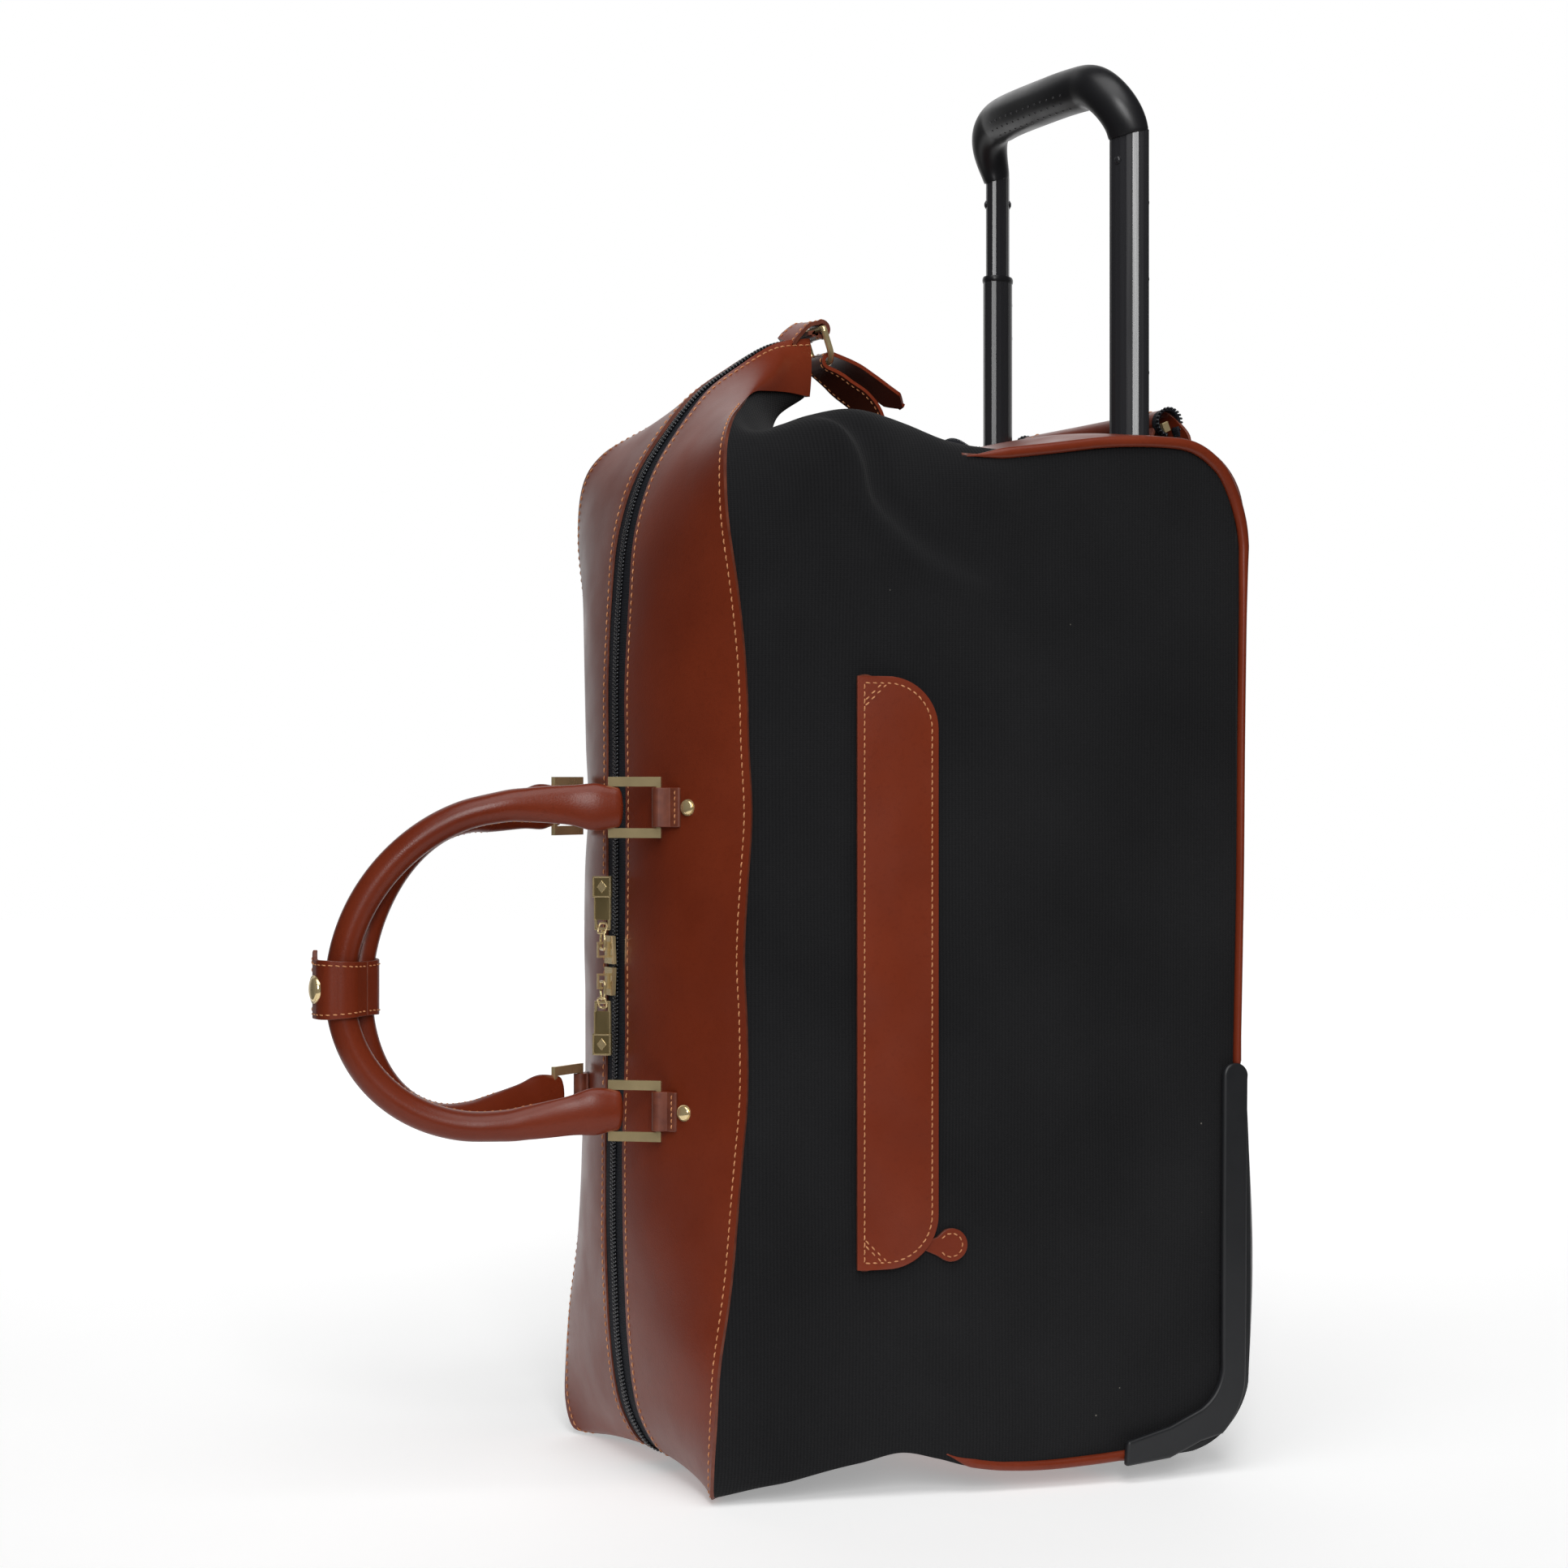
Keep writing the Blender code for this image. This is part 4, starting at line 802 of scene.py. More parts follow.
def caps():
    """Leather over the stiff base's two ends. The upper one is crowned round the trolley opening."""
    across = np.linspace(-1, 1, 61)
    corner_x, corner_z, flat_end = BACK_X - TOP_CORNER_R, TOP_Z - TOP_CORNER_R, 0.1985
    rows = [coords(x, across * (side_y(x) - 0.0012), height_on(TOP_LINE, x) + crown_of(x, across * side_y(x)))
            for x in np.linspace(0.066, flat_end, 40)]
    for k, (u, v) in enumerate(arc(0, 0, TOP_CORNER_R, 90, 0, 22)[1:]):
        y = across * (side_y(corner_x + u) - 0.001)
        rise = crown_of(flat_end, y) * (1 - smooth_step(k / 21, 0.0, 0.75))
        rows.append(coords(corner_x + u + rise * u / TOP_CORNER_R * 0.6, y, corner_z + v + rise))
    rows += [coords(BACK_X, across * (HALF_WIDTH - 0.001), z) for z in (0.54, 0.534)]
    upper = slab("top_leather_cap", np.array(rows), 0.0026, LEATHER, (0.2, 0, 1), edge=EDGE)
    cutter = plate("cutter", opening_outline(0.0), 0.08, lambda u, v, w: np.array((u, v, 0.555 + w)), LEATHER)
    cut(upper, cutter)
    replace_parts(upper, "top_base_cap")
    x = np.concatenate([[0.054, 0.0575, 0.063], np.linspace(0.072, 0.17, 20)])
    z = np.concatenate([[0.024, 0.02, 0.0172], height_on(BOTTOM_LINE, x[3:])])
    grid = np.array([coords(v, across * (side_y(v) - 0.003), h) for v, h in zip(x, z)])
    lower = slab("bottom_leather_cap", grid, 0.0026, LEATHER, (0, 0, -1), edge=EDGE, round_by=0.0006)
    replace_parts(lower, "bottom_base_cap")
    x, z = curve([(0.056, 0.0225), (0.066, 0.0182), (0.075, 0.0161), (0.09, 0.014), (0.113, 0.0129),
                  (0.14, 0.0137), (0.166, 0.0152)], 70).T
    thick = 0.0004 + 0.0024 * smooth_step(x, 0.056, 0.072)
    for name, side in SIDES.items():
        path = coords(x, side * (side_y(x) + 0.0004), z)
        sweep(name + "_bottom_piping", path, coords(thick, thick), (0, 1, 0), LEATHER, sides=16)


def opening_outline(grow):
    """Rounded outline of the trolley opening, (x, y)."""
    low, high, half, corner = 0.179 - grow, 0.223 + grow, 0.106 + grow, 0.012 + grow
    centres = (high - corner, half - corner), (low + corner, half - corner)
    centres += (low + corner, corner - half), (high - corner, corner - half)
    return np.concatenate([arc(*centre, corner, 90 * k, 90 * k + 90, 8) for k, centre in enumerate(centres)])


def opening_zip():
    """Half a zip round the trolley opening, standing up where its cover was unzipped."""
    path = curve(np.roll(opening_outline(0.004), -4, axis=0)[:-6], 220)
    x, y = path[:, 0], path[:, 1]
    base = height_on(TOP_LINE, np.minimum(x, 0.2)) + crown_of(np.minimum(x, 0.1985), y) - 0.003
    lift = -0.004 + 0.0205 * smooth_step(y, 0.03, 0.092)
    foot = coords(x, y, base)
    inward = unit(((0.201, 0.0, 0.0) - foot) * (1.0, 0.25, 0.0))
    top = foot + coords(0, 0, lift) + inward * 0.0012
    grid = np.stack([foot + (top - foot) * k / 4 for k in range(5)], axis=1)
    slab("opening_tape", grid, 0.001, TAPE, ((0, 0, 0.1) - inward)[:, None])
    teeth("opening_coil", top, -inward, reach=0.0012)


def piping():
    """Leather cord round the upper and back edge of each side, down to the corner guard."""
    x, z = curve([(0.069, 0.5752), (0.085, 0.5768), (0.116, 0.5808), (0.152, 0.5856), (0.184, 0.5868),
                  (0.206, 0.5845), (0.2225, 0.574), (0.2315, 0.56), (0.237, 0.5445), (0.2392, 0.53),
                  (0.239, 0.517), (0.2375, 0.424), (0.2365, 0.33), (0.2345, 0.234)], 220).T
    wide = 0.0017 + 0.0015 * smooth_step(z, 0.48, 0.56) + 0.0004 * smooth_step(x, 0.19, 0.215)
    start = 0.1 + 0.9 * smooth_step(x, 0.067, 0.092)
    for name, side in SIDES.items():
        made = sweep(name + "_leather_piping", coords(x, side * (side_y(x) + 0.001), z),
                     coords(wide * start, 0.0028 * start), (0, 1, 0), LEATHER, sides=16, domes=0.002)
        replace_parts(made, name + "_piping")


def back_panel():
    """Canvas over the board behind the trolley, with a stitched leather edge."""
    y, z = np.meshgrid(np.linspace(-0.1475, 0.1475, 60), np.linspace(0.223, 0.54, 70))
    tubes = sum(np.exp(-((y - s * TUBE_Y) / 0.02) ** 2) for s in (-1, 1))
    grid = coords(0.2396, y, z)
    slack = 0.0005 * lumps(grid, 14.0)
    grid[..., 0] += 0.001 * tubes - 0.0012 * smooth_step(np.abs(y), 0.128, 0.1475) + slack
    made = slab("back_canvas", grid, 0.005, BACK_CANVAS, (1, 0, 0), round_by=0.001)
    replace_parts(made, "back_board")
    for name, side in SIDES.items():
        y = side * np.linspace(0.131, 0.149, 6)
        bow = 0.2402 - 0.001 * np.abs(y - side * 0.139) / 0.009
        strip = np.array([coords(bow, y, height) for height in np.linspace(0.234, 0.534, 60)])
        slab(name + "_back_binding", strip, 0.0016, LEATHER, (1, 0, 0), edge=EDGE, round_by=0.0004)
        stitches(name + "_back_stitching", [(strip[1:-1, 1], (1, 0, 0))])


def trolley_cover():
    """Zipped cover for the stowed handle, opened: it rises behind the tubes, curls and hangs down."""
    body = "cover_flap"
    axis = np.array((0.23, 0.6068))
    half, zip_y = 0.094, 0.0799
    root = [(0.2196, 0.59), (0.2198, 0.594)]
    hang = [(0.2405, 0.594), (0.2428, 0.584), (0.2448, 0.572), (0.246, 0.556), (0.246, 0.533)]
    line = curve(np.concatenate([root, arc(*axis, 0.0078, 205, 5, 30), hang]), 90)
    along = lengths(line)
    waist = 1 - 0.15 * smooth_step(along, 0.0, 0.006) * (1 - smooth_step(along, 0.034, 0.052))
    grid = coords(line[:, :1], half * waist[:, None] * np.linspace(-1, 1, 40), line[:, 1:])
    grid[..., 0] += 0.0005 * lumps(grid, 22.0)
    made = slab("trolley_cover", grid, 0.0018, LEATHER, (1, 0, 1), body, edge=EDGE, round_by=0.0004)
    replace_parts(made, "cover_flap")
    normals = outward_normals(grid, (1, 0, 1))
    seams = (slice(3, -2), 3), (slice(3, -2), -4), (-3, slice(3, -3))
    stitches("trolley_cover_stitching", [(grid[seam], normals[seam]) for seam in seams], body)
    loop = curve(np.concatenate([arc(*axis, 0.0086, 262, -30, 36), [(0.2402, 0.596)]]), 90)
    out = unit(loop - axis)
    outward = coords(out[:, 0], 0, out[:, 1])
    for name, side in SIDES.items():
        ring = coords(loop[:, 0], side * (zip_y - 0.001), loop[:, 1]) - outward * 0.0008
        edge = np.stack([ring + np.array((0, side, 0)) * 0.007 * k / 3 for k in range(4)], axis=1)
        slab(f"cover_tape_{name}", edge, 0.0009, TAPE, (1, 0, 1), body)
        teeth(f"cover_coil_{name}", edge[:, 3] + outward * 0.0002, outward, body)
    block("cover_zip_stop", np.array((0.229, -zip_y - 0.003, 0.604)), (0.0022, 0.0016, 0.003),
          ((0.9, 0, 0.4), (0, 1, 0), (-0.4, 0, 0.9)), GOLD, body)


# ---- Pocket ----

def pocket():
    """Leather welt over the pocket's zip, stitched all round, and the zip's leather pull tab."""
    x0, x1, z0, z1, corner = 0.0028, 0.0485, 0.127, 0.4525, 0.029
    ease = corner * (1 - np.cos(np.linspace(0, math.pi / 2, 16)))
    z = np.concatenate([z0 + ease, np.linspace(z0 + corner, z1 - corner, 60)[1:-1], z1 - ease[::-1]])
    past = np.maximum(np.maximum(z0 + corner - z, z - z1 + corner), 0.0)
    right = x1 - corner + np.sqrt(np.maximum(corner ** 2 - past ** 2, 0.0))
    share = np.linspace(0, 1, 22)
    x = x0 + (right[:, None] - x0) * share
    grid = coords(x, -(side_y(x) + 0.0064 + 0.0006 * np.sin(math.pi * share)), z[:, None])
    made = slab("pocket_welt", grid, 0.0028, LEATHER, (0, -1, 0), edge=EDGE, round_by=0.0009)
    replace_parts(made, "pocket_flap")

    left, right, low, high, radius = x0 + 0.0038, x1 - corner, z0 + 0.0038, z1 - 0.0038, corner - 0.0038
    border = np.concatenate([[(left, low)], arc(right, z0 + corner, radius, -90, 0, 12),
                             arc(right, z1 - corner, radius, 0, 90, 12), [(left, high)]])
    lines = [evenly(border, 200), evenly([(left, low), (left, high)], 100)]
    for end, sign in ((low, 1), (high, -1)):
        for reach in (0.01, 0.013):
            lines.append(evenly([(left, end + sign * reach), (left + reach, end)], 12))
    lines = [(coords(line[:, 0], -(side_y(line[:, 0]) + 0.0067), line[:, 1]), (0, -1, 0)) for line in lines]
    stitches("pocket_stitching", lines, pitch=0.004, length=0.0029)

    finish_node("pocket_zip", TAPE)
    outline = np.concatenate([[(0.03, 0.1372), (0.042, 0.1362), (0.049, 0.133)],
                              arc(0.0572, 0.1386, 0.0092, -118, 112, 26),
                              [(0.049, 0.1432), (0.042, 0.1412), (0.03, 0.1408)]])

    def place(u, v, w):
        return np.array((u, -(float(side_y(u)) + 0.002 + w), v))
    tab = plate("pocket_pull_tab", outline, 0.0022, place, LEATHER, "pocket_slider", 0.0005, edge=EDGE)
    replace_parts(tab, "pocket_puller")
    x, z = arc(0.0568, 0.1386, 0.0064, -150, 150, 40).T
    stitches("pull_tab_stitching", [(coords(x, -(side_y(x) + 0.0043), z), (0, -1, 0))], "pocket_slider",
             pitch=0.0034, length=0.0025, radius=0.0004)


# ---- Carry handles ----

HANDLE_TIPS = {-1: (-0.2526, -0.006), 1: (-0.2388, -0.006)}
HANDLE_SAG = 0.015


def handle_line(side):
    """Centre line of a carry handle, from its upper ring to its lower one.
    The near handle rests outside the far one."""
    high, low = RING_HEIGHTS["upper"], RING_HEIGHTS["lower"]
    middle, bow = (high + low) / 2, (high - low) / 2 + 0.004
    if side > 0:
        middle, bow = middle - 0.003, bow - 0.0032
    start, straight = RING_OUTER[0] - 0.006, -0.166
    tip_x, tip_y = HANDLE_TIPS[side]
    run = [(start + (straight - start) * k / 4, 0.004 * math.sin(math.pi / 2 * k / 4)) for k in range(4)]
    upper = 1.0 if side < 0 else -0.7
    turn = np.linspace(math.pi / 2, -math.pi / 2, 13)
    points = [(x, high + rise * upper) for x, rise in run]
    points += [(straight - (straight - tip_x) * math.cos(a), middle + bow * math.sin(a)) for a in turn]
    points += [(x, low - rise) for x, rise in reversed(run)]
    found = []
    for x, z in points:
        reach = (start - x) / (start - tip_x)
        found.append((x, RING_OUTER[1] + (tip_y - RING_OUTER[1]) * reach, z - HANDLE_SAG * reach ** 1.5))
    lead = unit(RING_PIN - RING_OUTER) * 0.004
    found.insert(0, tuple(RING_OUTER + lead + (0, 0, high)))
    found.append(tuple(RING_OUTER + lead + (0, 0, low)))
    return near_far(np.array(found), side)


def carry_handles():
    """Rolled leather handles, flattened where they wrap their rings."""
    for name, side in SIDES.items():
        body = name + "_carry_handle"
        path = curve(handle_line(side), 200)
        along = lengths(path)
        from_end = np.minimum(along, along[-1] - along)
        round_part = smooth_step(from_end, 0.018, 0.078)
        neck = np.exp(-((from_end - 0.013) / 0.009) ** 2)
        tall = 0.011 + 0.0022 * neck + (0.0084 - 0.011) * round_part
        thin = 0.0046 + 0.0008 * neck + (0.0084 - 0.0046) * round_part
        made = sweep(name + "_leather_handle", path, coords(tall, thin), (0, 1, 0), HANDLE_LEATHER, body,
                     sides=28, domes=0.003)
        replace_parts(made, name + "_carry_handle")
        seam = slice(22, -22)
        inner = unit(np.array((-0.166, 0, 0.296)) - path * np.array((1, 0, 1)))[seam]
        line = path[seam] + inner * (tall[seam, None] - 0.0002)
        stitches(name + "_handle_stitching", [(line, inner)], body, pitch=0.0042, length=0.0028,
                 radius=0.0004)


def rings_and_tabs():
    for name, side in SIDES.items():
        for level, height in RING_HEIGHTS.items():
            finish_node(f"{name}_{level}_ring", GOLD, 0.0012, 3)
            ring_tab_piece(name, side, level, height)


def ring_tab_piece(name, side, level, height):
    """Leather tab round a ring's inner bar, stitched down, with a rivet beside it."""
    half, skin, thick = 0.011, 0.004, 0.003
    grid = front_grid(-1, 200, 60)
    ys = np.linspace(-0.056, -0.0692, 9)

    def front_x(y):
        """Foremost x of the leather panel at y, over the tab's height."""
        found = []
        for rise in (-half, 0.0, half):
            away = np.abs(grid[..., 2] - height - rise) + np.abs(grid[..., 1] - y)
            i, j = np.unravel_index(away.argmin(), away.shape)
            step = grid[i, min(j + 1, 59)] - grid[i, j - 1]
            found.append(grid[i, j, 0] + step[0] / step[1] * (y - grid[i, j, 1]))
        return min(found)

    sole = [(front_x(y) + 0.0004, y) for y in ys]
    over = [(x - thick + 0.001 * k, y) for k, (x, y) in zip((1.4, 0.6, 0.1, 0.0), sole[:4:-1])]
    outline = np.concatenate([sole, over, arc(*RING_PIN[:2], skin, -112, -308, 24)])
    made = plate(f"{name}_{level}_leather_tab", outline, 2 * half,
                 lambda u, v, w: np.array((u, -side * v, height - half + w)), LEATHER,
                 round_by=0.0007, edge=EDGE)
    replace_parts(made, f"{name}_{level}_tab")
    y, out = ys[-2] + 0.0002, np.array((-0.86, side * 0.5, 0))
    column = coords(front_x(y) - thick + 0.0009, -side * y,
                    height + np.linspace(-half + 0.0012, half - 0.0012, 12))
    stitches(f"{name}_{level}_tab_stitching", [(column, unit(out))], pitch=0.0032, length=0.0024,
             radius=0.00042)
    rivet_y = -0.0752
    point = np.array((front_x(rivet_y), -side * rivet_y, height))
    dome(f"{name}_{level}_rivet", point, out, 0.0046, 0.0025, GOLD, rim=0.12)


def handle_wraps():
    """Leather wrap round both handles: two halves that part when one handle swings, closed by a snap."""
    tips = [handle_line(side)[11] for side in (-1, 1)]
    near, far = tips[0][:2], tips[1][:2]
    height, wall, inner = 0.0325, 0.0026, 0.0094
    lead = unit(far - near)
    across = np.array((lead[1], -lead[0]))
    base = math.degrees(math.atan2(across[1], across[0]))
    split = (near + far) / 2 + across * inner
    share, up = np.linspace(0, 1, 90), np.linspace(0, 1, 25)
    tall = height * (1 - 0.08 * smooth_step(share, 0.3, 0.9))[:, None]
    for name, side in SIDES.items():
        body = name + "_carry_handle"
        round_share, stand, flare = np.linspace(0, 1, 40), np.full(40, inner), 0.0
        if side < 0:
            stand = stand + 0.002 + 0.0018 * (1 - smooth_step(round_share, 0.0, 0.22))
            stand = stand - 0.002 * smooth_step(round_share, 0.42, 0.62)
            flare = 0.005 * (1 - smooth_step(share, 0.0, 0.16))[:, None] * up
        turn = np.radians(np.linspace(base - 172 if side < 0 else base + 205, base, 40))
        ring = (near if side < 0 else far) + stand[:, None] * coords(np.cos(turn), np.sin(turn))
        line = evenly(np.concatenate([ring, [split + side * lead * 0.0003]]), 90)
        tangent = unit(np.gradient(line, axis=0))
        outward = coords(-side * tangent[:, 1], side * tangent[:, 0], 0)[:, None]
        grid = coords(line[:, :1], line[:, 1:], tips[0][2] + tall * (up - 0.5) + flare) + outward * wall
        made = slab(name + "_leather_wrap", grid, wall, LEATHER, outward, body, edge=EDGE, round_by=0.0006)
        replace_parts(made, name + "_handle_wrap")
        normals = outward_normals(grid, outward)
        lines = [inset(grid[4:-2], normals[4:-2], 0.0026, from_last) for from_last in (False, True)]
        if side < 0:
            lines.append((grid[5, 2:-2], normals[5, 2:-2]))
            snap = dome("snap_cap", grid[16, 12], normals[16, 12], 0.0078, 0.0026, GOLD, body, rim=0.14)
            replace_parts(snap, "wrap_snap")
        stitches(name + "_wrap_stitching", lines, body, pitch=0.0038, length=0.0027, radius=0.0004)


# ---- Zip sliders and pullers ----

# A puller's flat parts: name, middle (across, along, out), half-sizes, look and rounding
PULLER_PARTS = [
    ("plate", (0, 0.0235, 0), (0.0046, 0.0065, 0.0009), OLD_GOLD, 0.0003),
    ("window_left", (-0.004, 0.0145, 0), (0.0008, 0.003, 0.0009), GOLD, 0.0003),
    ("window_right", (0.004, 0.0145, 0), (0.0008, 0.003, 0.0009), GOLD, 0.0003),
    ("window_end", (0, 0.012, 0), (0.0046, 0.0008, 0.0009), GOLD, 0.0003),
    ("edge_left", (-0.0046, 0.0235, 0.0002), (0.0004, 0.0065, 0.0011), GOLD, 0.0002),
    ("edge_right", (0.0046, 0.0235, 0.0002), (0.0004, 0.0065, 0.0011), GOLD, 0.0002),
    ("block", (0, 0.036, 0.0002), (0.0054, 0.006, 0.0016), OLD_GOLD, 0.0003),
    ("frame_a", (0, 0.0304, 0.0018), (0.0054, 0.0005, 0.0005), GOLD, 0.0002),
    ("frame_b", (0, 0.0416, 0.0018), (0.0054, 0.0005, 0.0005), GOLD, 0.0002),
    ("frame_c", (-0.005, 0.036, 0.0018), (0.0005, 0.0061, 0.0005), GOLD, 0.0002),
    ("frame_d", (0.005, 0.036, 0.0018), (0.0005, 0.0061, 0.0005), GOLD, 0.0002),
]


def puller(level, z, up):
    """Twisted link, then a flat plate with a window, its raised end block framed round a plain diamond."""
    body = level + "_puller"
    c, s = math.cos(PULLER_TURN), math.sin(PULLER_TURN)
    axes = np.array(((-s, c, 0.0), (0.0, 0.0, up), (-c, -s, 0.0)))
    origin = np.array((PULLER_X, 0.0, z))

    def at(u, v, w):
        return origin + np.array((u, v, w)) @ axes

    def wire(part, points, radius, reference, count):
        loop = curve([*points, points[0]], count)[:-1]
        return sweep(f"{level}_pull_{part}", loop, radius, reference, GOLD, body, sides=12, closed=True)

    link = [(PULLER_X, y, z + up * h) for y, h in
            ((-0.0026, 0.0004), (0.0026, 0.0004), (0.0033, 0.002), (0.003, 0.007), (0.0014, 0.01),
             (-0.0014, 0.01), (-0.003, 0.007), (-0.0033, 0.002))]
    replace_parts(wire("link", link, 0.0008, (1, 0.2, 0), 60), level + "_puller")
    eye = [at(u, v, w) for u, v, w in
           ((-0.002, 0.0098, 0.0018), (0.002, 0.0098, 0.0018), (0.0024, 0.0125, 0.0),
            (0.0016, 0.015, -0.0012), (-0.0016, 0.015, -0.0012), (-0.0024, 0.0125, 0.0))]
    wire("eye", eye, 0.0007, axes[2], 48)
    for part, middle, half, look, round_by in PULLER_PARTS:
        block(f"{level}_pull_{part}", at(*middle), half, axes, look, body, round_by)
    diamond = [(0.003, 0.036), (0.0, 0.0396), (-0.003, 0.036), (0.0, 0.0324)]
    plate(level + "_pull_ornament", diamond, 0.0006, lambda u, v, w: at(u, v, 0.0017 + w), GOLD, body, 0.0002)


def sliders():
    for level, z in SLIDER_HEIGHTS.items():
        up = 1 if level == "upper" else -1
        finish_node(level + "_slider", GOLD, 0.0004, 2)
        puller(level, z, up)


# ---- Upper end ----

D_BAR = np.array((0.0385, 0.66))
D_FOOT = np.array((0.045, 0.641))


def strap(name, line, half, node, look, edge, roll, point_tip=0.0):
    """Flat strap seen edge on along line (x, z), stitched near both edges. roll lowers its far edge: pairs of
    a share along the strap and the slope across it there."""
    thickness = 0.0024
    path = curve(line, 110)
    tangent = unit(np.gradient(path, axis=0))
    out = coords(-tangent[:, 1], 0, tangent[:, 0])
    along = lengths(path)
    width = np.full(len(path), half)
    if point_tip:
        width = half * np.clip((along[-1] - along) / point_tip, 0.18, 1.0) ** 0.8
    surface = coords(path[:, 0], 0, path[:, 1]) + out * thickness / 2
    grid = surface[:, None] + coords(0, width[:, None] * np.linspace(-1, 1, 15), 0)
    slope = np.interp(np.linspace(0, 1, len(path)), *zip(*roll))
    grid[..., 2] -= slope[:, None] * grid[..., 1]
    made = slab(name, grid, thickness, look, out[:, None], edge=edge, round_by=0.0005)
    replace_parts(made, node)
    normals = outward_normals(grid, out[:, None])
    lines = []
    for from_last in (False, True):
        points, up = inset(grid, normals, 0.0022, from_last)
        lines.append((points[2:-6], up[2:-6]))
    stitches(name + "_stitching", lines, pitch=0.0038, length=0.0027, radius=0.0004)


def upper_end():
    """The end of the main zip: a leather tab with a D-ring, and the closing strap through it."""
    tab = np.concatenate([[(0.0205, 0.6525), (0.024, 0.657), (0.031, 0.663)],
                          arc(*D_BAR, 0.0045, 120, -150, 16),
                          [(0.03, 0.657)]])
    strap("ring_leather_tab", tab, 0.0104, "ring_tab", LEATHER, EDGE,
          ((0, -0.28), (0.35, -0.1), (0.5, 0), (1, 0)))
    path = np.concatenate([[(0.08, 0.5784), (0.081, 0.595), (0.078, 0.609), (0.069, 0.62), (0.058, 0.627),
                            (0.05, 0.6325)], arc(*D_FOOT, 0.005, 240, 75, 12),
                           [(0.06, 0.64), (0.074, 0.632), (0.086, 0.6245), (0.097, 0.618)]])
    roll = ((0, 0.3), (0.25, 0.45), (0.42, 0.35), (0.56, 0.0), (0.62, 0.0), (0.75, 0.18), (1, 0.22))
    # The strap's faces take the darkened leather, which is painted shade; its rim takes the plain leather
    strap("closing_leather_strap", path, 0.0102, "closing_strap", SHADED_STRAP_LEATHER, LEATHER, roll,
          point_tip=0.008)

    down = unit(D_FOOT - D_BAR)
    length = float(np.linalg.norm(D_FOOT - D_BAR))
    half, corner = 0.0131, 0.008
    shoulder, knee = length - corner, (length - corner) / 2
    outline = evenly(np.concatenate([[(-half, 0.0), (-half, knee)],
                                     arc(corner - half, shoulder, corner, 180, 90, 8),
                                     arc(half - corner, shoulder, corner, 90, 0, 8),
                                     [(half, knee), (half, 0.0)]]), 70)
    bar = evenly([(half, 0.0), (-half, 0.0)], 14)[1:-1]
    u, v = np.concatenate([outline, bar]).T
    ring = sweep("round_d_ring", coords(D_BAR[0] + down[0] * v, u, D_BAR[1] + down[1] * v), 0.0019,
                 (-down[1], 0, down[0]), GOLD, "d_ring", sides=16, closed=True)
    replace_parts(ring, "d_ring")
    dome("strap_stud", (0.0795, 0.0, 0.602), (-0.94, 0, -0.3), 0.0034, 0.0018, GOLD)


# ---- Hard base ----

WHEEL_X = 0.215
WHEEL_Y = 0.088
WHEEL_R = 0.028


def housing_rise(z):
    """Share of the housing's bulge at this height."""
    return np.sin(math.pi * np.clip((z - 0.008) / 0.222, 0, 1)) ** 0.7


def housing():
    """Moulded shell round the lower back corner, bulging over the wheels, with a well for each."""
    bulge = 0.0222
    line = np.concatenate([[(0.158, 0.0115), (0.17, 0.011), (0.185, 0.0115)],
                           arc(0.2, 0.056, 0.044, -80, -10, 20),
                           [(0.2435, z) for z in (0.08, 0.12, 0.16, 0.2, 0.226)]])
    line = evenly(line, 90)
    x, z, share = line[:, :1], line[:, 1:], np.linspace(-1, 1, 81)
    swell = 1 - 0.8 * np.abs(share) ** 8
    grid = coords(x + bulge * swell * housing_rise(z) * smooth_step(x, 0.2, 0.222), 0.145 * share, z)
    shell = slab("moulded_housing", grid, 0.003, GUARD_PLASTIC, (1, 0, -0.5))
    for side in SIDES.values():
        middle = np.array((WHEEL_X - 0.002, side * WHEEL_Y, 0.0145))
        cut(shell, block("well", middle, (0.032, 0.015, 0.0245), AXES, GUARD_PLASTIC, round_by=0.003,
                         segments=3))
    shell.data.shade_smooth()
    shell.data.set_sharp_from_angle(angle=math.radians(45))
    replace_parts(shell, "wheel_housing")
    for name, side in SIDES.items():
        for k, height in enumerate((0.08, 0.208)):
            front = 0.2449 + bulge * housing_rise(height) * (1 - 0.85 ** 6)
            dome(f"{name}_housing_screw_{k + 1}", (front, side * 0.123, height), (1, 0, 0), 0.004, 0.0016,
                 STEEL, rim=0.2)
    for k in range(3):
        path = coords(0.266, -0.03 + 0.03 * k, np.linspace(0.075, 0.165, 20))
        sweep(f"housing_rib_{k + 1}", path, (0.003, 0.0016), (1, 0, 0), GUARD_PLASTIC, sides=14, domes=0.004)


def guards():
    """Plastic bumper rails on the lower back corner of each side."""
    outline = np.concatenate([
        [(0.159, 0.01), (0.188, 0.0122), (0.209, 0.02)], arc(0.1955, 0.056, 0.043, -50, 0, 20),
        [(0.239, 0.09), (0.2392, 0.15), (0.24, 0.224)], arc(0.2325, 0.226, 0.0078, 8, 90, 7),
        arc(0.2308, 0.2268, 0.007, 100, 180, 6), [(0.2232, 0.15)], arc(0.1945, 0.063, 0.0285, 5, -62, 20),
        [(0.188, 0.03), (0.16, 0.0238)]])
    for name, side in SIDES.items():
        made = plate(name + "_bumper", outline, 0.0046,
                     lambda u, v, w, side=side: np.array((u, side * (HALF_WIDTH + 0.0004 + w), v)),
                     GUARD_PLASTIC, round_by=0.0018, segments=4)
        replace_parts(made, name + "_corner_guard")


